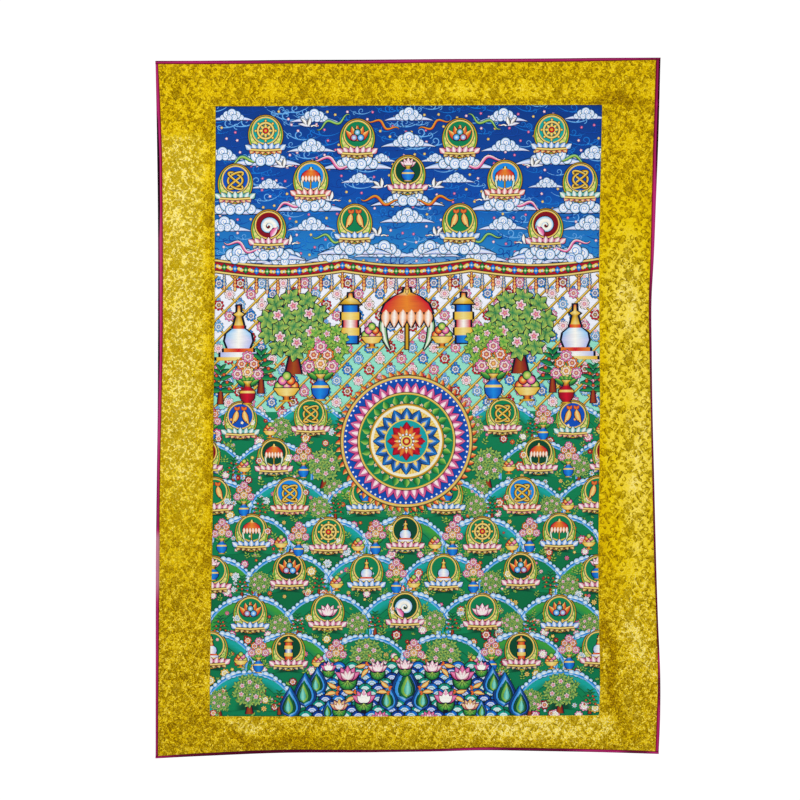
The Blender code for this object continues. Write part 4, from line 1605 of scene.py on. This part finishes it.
def trellis():
    """A pale field behind gold lattice, with a flower or sprig in each opening."""
    placed = [field(-DESIGN_WIDE / 2 - 2, DESIGN_WIDE / 2 + 2, 244, 452, "cloud", "mint").moved(lift=-0.1)]
    spacing = 32.0
    for start in np.arange(-DESIGN_WIDE / 2 - 200, DESIGN_WIDE / 2 + 10, spacing):
        bar = np.stack([np.linspace(start, start + 200, 41), -np.linspace(250, 450, 41)], axis=1)
        placed.append(ribbon(bar, 2.6, ("ochre", "gold", "straw"), ink=0.4).moved(lift=0.1))
        placed.append(ribbon(bar, 2.6, ("ochre", "gold", "straw"), ink=0.4).moved(flip=True, lift=0.16))
    flower, sprig, small = peony(), leaf_tuft(), blossom()
    tints = (("rose", "pink"), ("azure", "sky"), ("royal", "azure"), ("pink", "white"), ("crimson", "red"))
    for row, down in enumerate(np.arange(254, 450, spacing / 2)):
        for column, right in enumerate(np.arange(-10, 11)):
            place = ((right + (row % 2) * 0.5) * spacing + spacing / 4, -down - 8)
            tint = tints[(row + 2 * column) % 5]
            placed += [
                sprig.moved(*place, turn, 1.5, lift=0.2, colours=("leaf", "lime")) for turn in (0, 180)
            ]
            placed.append(flower.moved(*place, 17 * column, 0.95, lift=0.3, colours=tint))
            placed.append(
                small.moved(
                    place[0], place[1] + spacing / 4, 10 * row, 1.0, lift=0.3, colours=tints[column % 5]
                )
            )
    return placed


def sway(down, right):
    """How low a band hangs along its width: three shallow swags across the picture."""
    return down + 9 * np.abs(np.sin(3 * np.pi * (right / DESIGN_WIDE + 0.5)))


def bands():
    """Jewelled bands across the picture, with gold edges and strings of beads."""
    placed = []
    cell, string = band_cell(), bead_string()
    across = np.linspace(-DESIGN_WIDE / 2 - 2, DESIGN_WIDE / 2 + 2, 120)
    line = np.stack([across, -sway(236, across)], axis=1)
    placed.append(ribbon(line, 15, ("crimson", "red", "crimson"), ink=0.6))
    for offset in (-8.4, 8.4):
        placed.append(ribbon(line + (0, offset), 3.0, ("ochre", "straw", "gold"), ink=0.6).moved(lift=0.08))
    for i, right in enumerate(np.arange(-288, 289, 16)):
        low = -sway(236, right)
        placed.append(
            cell.moved(
                right, low, size=1.1, lift=0.12, colours=(("azure", "royal"), ("leaf", "forest"))[i % 2]
            )
        )
        placed.append(
            string.moved(
                right, low - 10, size=1.5, lift=0.5, colours=(("red", "orange"), ("azure", "rose"))[i % 2]
            )
        )
    return placed


def large_pieces():
    """The trees, vases and stupas that stand before the trellis."""
    tree, pointed = round_tree(), fruit_tree()
    rows = (
        (parasol(), 0, 318, 4.2, ("red", "orange", "leaf")), (tree, 168, 326, 3.2, ("emerald", "lime")),
        (banner(), 84, 322, 3.2, ("royal", "azure", "red")), (stupa(), 250, 340, 3.6, ("orange", "red")),
        (tree, 118, 356, 2.0, ("leaf", "lime")), (pointed, 216, 388, 1.8, ("emerald", "leaf")),
        (pointed, 276, 408, 1.6, ("emerald", "leaf")), (flower_vase(), 128, 412, 1.7, ("royal", "azure")),
        (fruit_bowl(), 178, 420, 1.9, ("gold", "straw")), (flower_vase(), 236, 420, 1.5, ("crimson", "red")),
        (fruit_bowl(), 52, 344, 1.6, ("gold", "straw")),
    )
    placed = []
    for i, (motif, right, down, size, colours) in enumerate(rows):
        placed += both_sides(motif, right, down, size=size, lift=0.2 + 0.1 * i, colours=colours)
    return placed


def scattered(region, spacing, taken, seed):
    """Places on an uneven grid within (left, right, top, bottom), clear of the taken rounds."""
    left, right, top, bottom = region
    across, down = np.meshgrid(np.arange(left, right, spacing), np.arange(top, bottom, spacing))
    chance = np.random.default_rng(seed)
    across = (across + chance.uniform(-0.35, 0.35, across.shape) * spacing).ravel()
    down = (down + chance.uniform(-0.35, 0.35, down.shape) * spacing).ravel()
    middle = np.array([row[:2] for row in taken])
    reach = np.array([row[2] for row in taken])
    away = np.hypot(across[:, None] - middle[:, 0], down[:, None] - middle[:, 1]) - reach
    clear = (away > 0).all(axis=1)
    return across[clear], down[clear], chance


def hill_places():
    """The middle of each hill's foot, its size and its row, from the rows of hills."""
    for row, (down, first, step, size) in enumerate(HILL_ROWS):
        for right in np.arange(first, 330, step):
            for side in (-1, 1) if right else (1,):
                yield side * right, down + 3 * np.sin(right * 0.7 + row), size, row


def uncovered(motif, first_row):
    """The motif without the triangles that lie behind the wheel, or behind hills from this row
    down: within an upper half ellipse 58 mm to each side and 50 mm high, times the hill's size."""
    right, down = motif.points[:, 0], -motif.points[:, 1]
    hidden = np.hypot(right, down - WHEEL_DOWN) < 108 * WHEEL_SIZE
    for across, foot, size, row in hill_places():
        if row >= first_row:
            beside = np.abs(right - across) / (57 * size)
            rim = foot - 50 * size * np.sqrt(np.clip(1 - beside**2, 0, 1))
            hidden |= (beside < 1) & (down > rim + 2) & (down < foot + 3)
    hidden |= np.abs(right) > DESIGN_WIDE / 2 + 3
    return Motif(motif.points, motif.tones, motif.faces[~hidden[motif.faces].all(axis=1)])


FLOWER_TINTS = (
    ("white", "pink"), ("orange", "red"), ("sky", "white"), ("straw", "gold"), ("pink", "rose"),
    ("red", "crimson")
)


def hills(seats, first_row, last_row):
    """Rows of cloud-rimmed hills, the lower before the upper, each with what stands on it."""
    tree, spray = round_tree(), flower_vase()
    fillers = (spray, tree, fruit_bowl(), fruit_tree())
    filler_tints = (("royal", "azure"), ("emerald", "lime"), ("gold", "straw"), ("emerald", "leaf"))
    sprigs = (leaf_tuft(), leaf_sprig(), blossom(), daisy(), leaf_sprig(), peony())
    hill = mound()
    chance = np.random.default_rng(8 + first_row)
    placed = []
    for right, down, size, row in hill_places():
        if not first_row <= row <= last_row:
            continue
        base = 0.34 * row
        tints = (
            ("emerald", "leaf"), ("emerald", "emerald"), ("emerald", "teal")
        )[int(abs(right) / 50 + row) % 3]
        here = [hill.moved(right, -down, size=size, lift=base, colours=tints)]
        kind = int(abs(right) / 9.7 + 3.3 * row)
        by_pond = row == 6 and abs(right) < 100
        if row == 7 or by_pond:
            middle = tree.moved(right, -down + 26, size=1.5, colours=("emerald", "lime"))
        else:
            middle = seats[kind % len(seats)].moved(
                right, -down + 28, size=1.4, flip=right < 0, colours=SEAT_COLOURS[kind % 7]
            )
        here.append(middle.moved(lift=base + 0.1))
        for side in (-1, 1):
            pick = (kind + side) % 4
            place = (right + side * 44, -down + 12)
            here.append(fillers[pick].moved(*place, size=1.0, lift=base + 0.1, colours=filler_tints[pick]))
        for i in range(38):
            turn, reach = np.radians(chance.uniform(0, 180)), chance.uniform(20, 50)
            spot = (right + reach * 1.1 * np.cos(turn), -down + reach * np.sin(turn) - 4)
            if i > 25:
                spot = (right + chance.uniform(-54, 54), -down - chance.uniform(0, 20))
            pick = chance.integers(len(sprigs))
            tint = ("leaf", "lime") if pick in (0, 1, 4) else FLOWER_TINTS[chance.integers(6)]
            here.append(
                sprigs[pick].moved(
                    *spot, chance.uniform(-40, 40), chance.uniform(0.6, 0.95), lift=base + 0.08, colours=tint
                )
            )
        placed.append(uncovered(joined(here), row + 1))
    if first_row == 0:
        for right, down, size in ((121, 532, 1.5), (106, 568, 1.0)):
            placed += both_sides(tree, right, down, size=size, lift=0.5, colours=("emerald", "lime"))
    return placed


def sky_fill():
    """Curls of azure over the sky, and falling blossoms."""
    clouds = [(side * right, down, 30) for right, down in SKY_SEATS for side in (-1, 1)]
    across, down, chance = scattered((-284, 290, 6, 236), 19, clouds, 6)
    curl, flower = sky_curl(), blossom()
    placed = []
    for right, low in zip(across, down):
        tint = (("royal", "azure"), ("azure", "sky"), ("navy", "royal"))[chance.integers(3)]
        placed.append(
            curl.moved(
                right, -low, chance.uniform(-12, 12), chance.uniform(0.8, 1.3), right < 0, colours=tint
            )
        )
        tint = (("straw", "gold"), ("white", "pink"), ("pink", "rose"))[chance.integers(3)]
        placed.append(flower.moved(right + 9, -low - 8, 0, 0.7, lift=0.05, colours=tint))
    return placed


def waters():
    """A pond of wave scales with lilies, lotuses and fishes, between rocks."""
    placed = []
    scale = wave()
    for row, down in enumerate(np.arange(822, 912, 8)):
        for column in np.arange(-9, 10):
            tint = (
                ("azure", "royal", "navy"), ("teal", "azure", "royal"), ("mint", "teal", "emerald")
            )[(row // 2 + column) % 3]
            place = ((column + (row % 2) * 0.5) * 19.4, -down - 10)
            if abs(place[0]) < 118 + 0.5 * (down - 822):
                placed.append(scale.moved(*place, lift=0.02 * row, colours=tint))
    peak = rock()
    for right, down, size, lift in (
        (0, 882, 1.3, 0.6), (24, 894, 0.9, 0.8), (128, 870, 0.9, 0.7), (146, 888, 1.1, 0.8),
        (168, 904, 1.0, 0.9), (112, 906, 0.6, 0.9)
    ):
        placed += both_sides(peak, right, down, size=size, lift=lift)
    pad, bloom = lily_pad(), lotus()
    for i, (right, down, size) in enumerate(
        (
            (40, 834, 1.5), (84, 846, 1.9), (60, 880, 1.8), (96, 890, 1.4), (0, 830, 1.3), (36, 906, 1.3),
            (112, 832, 1.2)
        )
    ):
        placed += both_sides(pad, right, down + 4, size=size, lift=1.0)
        tint = (("pink", "white"), ("rose", "pink"), ("white", "pink"), ("orange", "straw"))[i % 4]
        placed += both_sides(bloom, right, down + 2, size=size, lift=1.2, colours=tint)
    for right, down, turn in ((64, 834, 60), (110, 862, 100), (84, 872, 80), (34, 860, 110)):
        placed += both_sides(
            fishes(), right, down, turn=turn, size=1.1, lift=1.1, colours=("orange", "straw")
        )
    return placed


def picture(silk):
    """All the woven pieces of the picture."""
    seats = treasures()
    return [
        woven("picture_sky_fill", sky_fill(), silk),
        woven("picture_trellis", [uncovered(joined(trellis()), 0)], silk),
        woven("picture_bands", bands(), silk, 0.3),
        woven("picture_sky", sky(seats), silk, 0.1),
        woven("picture_trees", large_pieces(), silk, 0.3),
        woven("picture_hills_upper", hills(seats, 0, 3), silk, 0.15),
        woven("picture_hills_lower", hills(seats, 4, 7), silk, 0.15),
        woven("picture_waters", waters(), silk, 1.2),
        woven("picture_wheel", [lotus_wheel().moved(0, -WHEEL_DOWN, size=WHEEL_SIZE)], silk, 1.4),
    ]


def picture_sheet(ground, back):
    """The picture cloth, with its margin under the brocade."""
    wide, tall = np.linspace(0, 1, 66), np.linspace(0, 1, 104)
    across, down = strip_places(
        upright("picture_left", -MARGIN), upright("picture_right", MARGIN),
        level("picture_top", -MARGIN), level("picture_bottom", MARGIN), wide, tall,
    )
    sheet = add_piece(
        "picture_cloth", hung(across, down, picture_front(across, down)), grid_faces(*across.shape),
        [ground, back], "picture_panel",
    )
    thicken(sheet, PANEL_THICK)
    return sheet


BEAD_DEPTH = 1.7  # half the binding's thickness
BEAD_SIDES = 16
BEAD_PITCH = 3.0


def bead(centre, half_width, forward, upright_bead):
    """A rolled binding: the section (half_width * cos, BEAD_DEPTH * sin), a little squared,
    carried along the cloth's edge, with a flat cap at each end."""
    stations = len(centre[0])
    angle = np.linspace(0, 2 * np.pi, BEAD_SIDES, endpoint=False)
    out = np.sign(np.cos(angle)) * np.abs(np.cos(angle)) ** 0.85
    proud = np.sign(np.sin(angle)) * np.abs(np.sin(angle)) ** 0.85
    sideways = half_width[:, None] * out
    across = centre[0][:, None] + (sideways if upright_bead else 0 * sideways)
    down = centre[1][:, None] + (0 * sideways if upright_bead else sideways)
    height = forward[:, None] + BEAD_DEPTH * proud
    rings = hung(across, down, height)
    caps = rings.reshape(stations, BEAD_SIDES, 3)[[0, -1]].mean(axis=1)
    points = np.concatenate([rings, caps])
    ring = np.arange(stations - 1)[:, None] * BEAD_SIDES
    side = np.arange(BEAD_SIDES)
    after = (side + 1) % BEAD_SIDES
    quads = np.stack([ring + side, ring + after, ring + BEAD_SIDES + after, ring + BEAD_SIDES + side], -1)
    quads = quads.reshape(-1, 4)
    triangles = np.concatenate([quads[:, [0, 1, 2]], quads[:, [0, 2, 3]]])
    last = (stations - 1) * BEAD_SIDES
    first_cap = np.stack([np.full(BEAD_SIDES, stations * BEAD_SIDES), after, side], -1)
    last_cap = np.stack([np.full(BEAD_SIDES, stations * BEAD_SIDES + 1), last + side, last + after], -1)
    triangles = np.concatenate([triangles, first_cap, last_cap])
    return points, triangles, out


def seam_to_seam(across):
    """Heights along an upright binding, which butts against the level ones."""
    start, end = hem_edge("top_seam", across), hem_edge("bottom_seam", across)
    return np.linspace(start, end, int((end - start) / BEAD_PITCH))


def side_to_side(down):
    """Places along a level binding, which runs the full width."""
    start, end = side_edge("left", down), side_edge("right", down)
    return np.linspace(start, end, int((end - start) / BEAD_PITCH))


# The binding's painted shade and highlight along each edge, as the light and the roll of the satin leave it:
# how far down or across, how much painted shade deepens it (or below 0, how much painted highlight pales it),
# and how dark the painted shade on the outer turn is
BINDING_TONES = {
    "binding_left": (
        (0, 0.1, 0.2), (75, 0.15, 0.3), (90, 0.15, 0.9), (110, 0.0, 1.0), (150, 0.0, 1.4), (220, 0.0, 1.4),
        (265, -0.05, 0.8), (440, 0.0, 1.0), (560, -0.05, 0.4), (640, 0.1, 0.7), (690, 0.3, 0.6),
        (708, -0.5, 0.2), (775, -0.4, 0.2), (815, 0.15, 0.4), (880, 0.1, 0.2), (960, 0.3, 0.3),
        (1030, 0.3, 0.5),
    ),
    "binding_right": (
        (0, 0.5, 1.0), (60, 0.4, 1.0), (66, 0.1, 0.9), (72, 0.35, 1.0), (135, 0.2, 1.0), (165, 0.1, 0.7),
        (195, 0.0, 0.1), (290, 0.1, 0.0), (345, 0.75, 0.0), (560, 0.75, 0.3), (870, 0.9, 0.5),
        (886, 0.1, 0.1), (902, 0.3, 0.1), (920, 0.8, 0.3), (944, 0.7, 0.3), (962, 0.2, 0.1), (1030, 0.1, 0.4),
    ),
    "binding_top": (
        (-373, 0.3, 0.7), (-320, 0.1, 0.4), (-220, 0.3, 0.8), (-101, 0.3, 1.0), (0, 0.1, 0.5),
        (330, 0.3, 0.5), (373, 0.5, 1.0),
    ),
    "binding_bottom": (
        (-373, 0.2, 0.3), (-335, 0.85, 0.6), (-240, 0.95, 0.7), (0, 0.8, 0.5), (50, 0.7, 0.3), (80, 0.3, 0.3),
        (115, 0.3, 0.5), (145, 0.8, 0.7), (230, 0.8, 0.7), (262, 0.2, 0.3), (310, 0.15, 0.3), (328, 0.8, 0.6),
        (350, 0.75, 0.6), (362, 0.1, 0.2), (373, 0.1, 0.2),
    ),
}


def binding(satin):
    """A bead along each edge. The turn value runs from 0 beside the brocade to 1 outside."""
    made = {}
    beads = (
        ("binding_left", seam_to_seam(-371.0), "left", 1, True),
        ("binding_right", seam_to_seam(368.0), "right", -1, True),
        ("binding_top", side_to_side(3.0), "top", 1, False),
        ("binding_bottom", side_to_side(1028.0), "bottom", -1, False),
    )
    for node, along, edge, inward, is_upright in beads:
        edge_at = side_edge if is_upright else hem_edge
        half = edge_at(edge + "_bead", along) / 2
        middle = edge_at(edge, along) + inward * half
        centre = (middle, along) if is_upright else (along, middle)
        forward = picture_front(*centre) + GAP - 0.4
        points, triangles, out = bead(centre, half, forward, is_upright)
        turn = np.tile((1 - inward * out) / 2, len(along))
        turn = np.concatenate([turn, [0.5, 0.5]])
        # The tone and rim values carry the painted shade and highlight along the bead.
        places, tones, rims = np.array(BINDING_TONES[node]).T
        values = {"turn": turn}
        for name, levels in (("tone", tones), ("rim", rims)):
            level_along = np.interp(along, places, levels)
            values[name] = np.concatenate([np.repeat(level_along, BEAD_SIDES), level_along[[0, -1]]])
        if not is_upright:
            triangles = triangles[:, ::-1]
        made[node] = add_piece(node + "_satin", points, triangles, [satin], node, values)
    return made


def face_outwards(piece):
    """Turns a closed mesh's faces outwards if its volume comes out negative."""
    mesh = piece.data
    corners = np.empty(len(mesh.vertices) * 3)
    mesh.vertices.foreach_get("co", corners)
    index = np.empty(len(mesh.loops), np.int32)
    mesh.loops.foreach_get("vertex_index", index)
    a, b, c = corners.reshape(-1, 3)[index.reshape(-1, 3)].transpose(1, 0, 2)
    if np.einsum("ij,ij->", a, np.cross(b, c)) < 0:
        mesh.flip_normals()


# Camera: straight on, so that one pixel of the 800 pixel picture is 1.48 mm on the cloth
PIXEL = 1.48
PHOTO_MIDDLE_ACROSS = (400 - 408.3) * PIXEL
PHOTO_MIDDLE_DOWN = (400 - 59.75) * PIXEL
CAMERA_AWAY = 3.4
SENSOR = 36.0


def camera():
    """The camera, far in front. Its lens is sensor width * distance / width seen."""
    seen = 800 * PIXEL * MM
    lens = bpy.data.cameras.new("camera")
    lens.sensor_width = SENSOR
    lens.lens = SENSOR * CAMERA_AWAY / seen
    eye = bpy.data.objects.new("camera", lens)
    eye.location = (PHOTO_MIDDLE_ACROSS * MM, -CAMERA_AWAY, -PHOTO_MIDDLE_DOWN * MM)
    eye.rotation_euler = (np.pi / 2, 0, 0)
    bpy.context.scene.collection.objects.link(eye)
    bpy.context.scene.camera = eye


def area_light(name, place, aim, size, power):
    """A soft box at a place, turned towards its aim."""
    lamp = bpy.data.lights.new(name, "AREA")
    lamp.shape = "RECTANGLE"
    lamp.size, lamp.size_y = size
    lamp.energy = power
    holder = bpy.data.objects.new(name, lamp)
    holder.location = place
    way = np.array(aim, float) - np.array(place, float)
    holder.rotation_euler = Vector(way).to_track_quat("-Z", "Y").to_euler()
    bpy.context.scene.collection.objects.link(holder)


def studio():
    """Soft light from a white room and two soft boxes, and a plain pale floor below."""
    world = bpy.data.worlds.new("studio")
    bpy.context.scene.world = world
    world.use_nodes = True
    sh = Shader(world.node_tree)
    background = world.node_tree.nodes["Background"]
    seen = sh.add("ShaderNodeLightPath").outputs["Is Camera Ray"]
    sh.feed(background, "Strength", sh.maths("ADD", 0.62, sh.maths("MULTIPLY", seen, 0.45)))
    background.inputs["Color"].default_value = (1, 1, 1, 1)
    area_light("key", (-1.3, -2.2, 0.9), (0, 0, -0.5), (1.4, 1.4), 34)
    area_light("fill", (1.8, -2.4, -0.3), (0, 0, -0.5), (1.6, 1.6), 14)
    floor_points = np.array([(-1.3, -0.9, -1.3), (1.3, -0.9, -1.3), (1.3, 0.6, -1.3), (-1.3, 0.6, -1.3)])
    mesh = bpy.data.meshes.new("floor")
    mesh.from_pydata(floor_points.tolist(), [], [(0, 1, 2, 3)])
    made, sh, shader = new_material("pale floor", 0.9)
    shader.inputs["Base Color"].default_value = (0.85, 0.85, 0.85, 1)
    mesh.materials.append(made)
    floor = bpy.data.objects.new("floor", mesh)
    bpy.context.scene.collection.objects.link(floor)
    bpy.context.scene.view_settings.view_transform = "Standard"


camera()
studio()
sheet = picture_sheet(picture_ground(), cloth_back("picture reverse", "5f7a80"))
woven_pieces = picture(picture_silk())
strips = brocade_strips(brocade_ground(), cloth_back("brocade reverse", "a89040"))
figures = damask_figures(brocade_figure())
beads = binding(magenta_satin())
for piece in beads.values():
    face_outwards(piece)
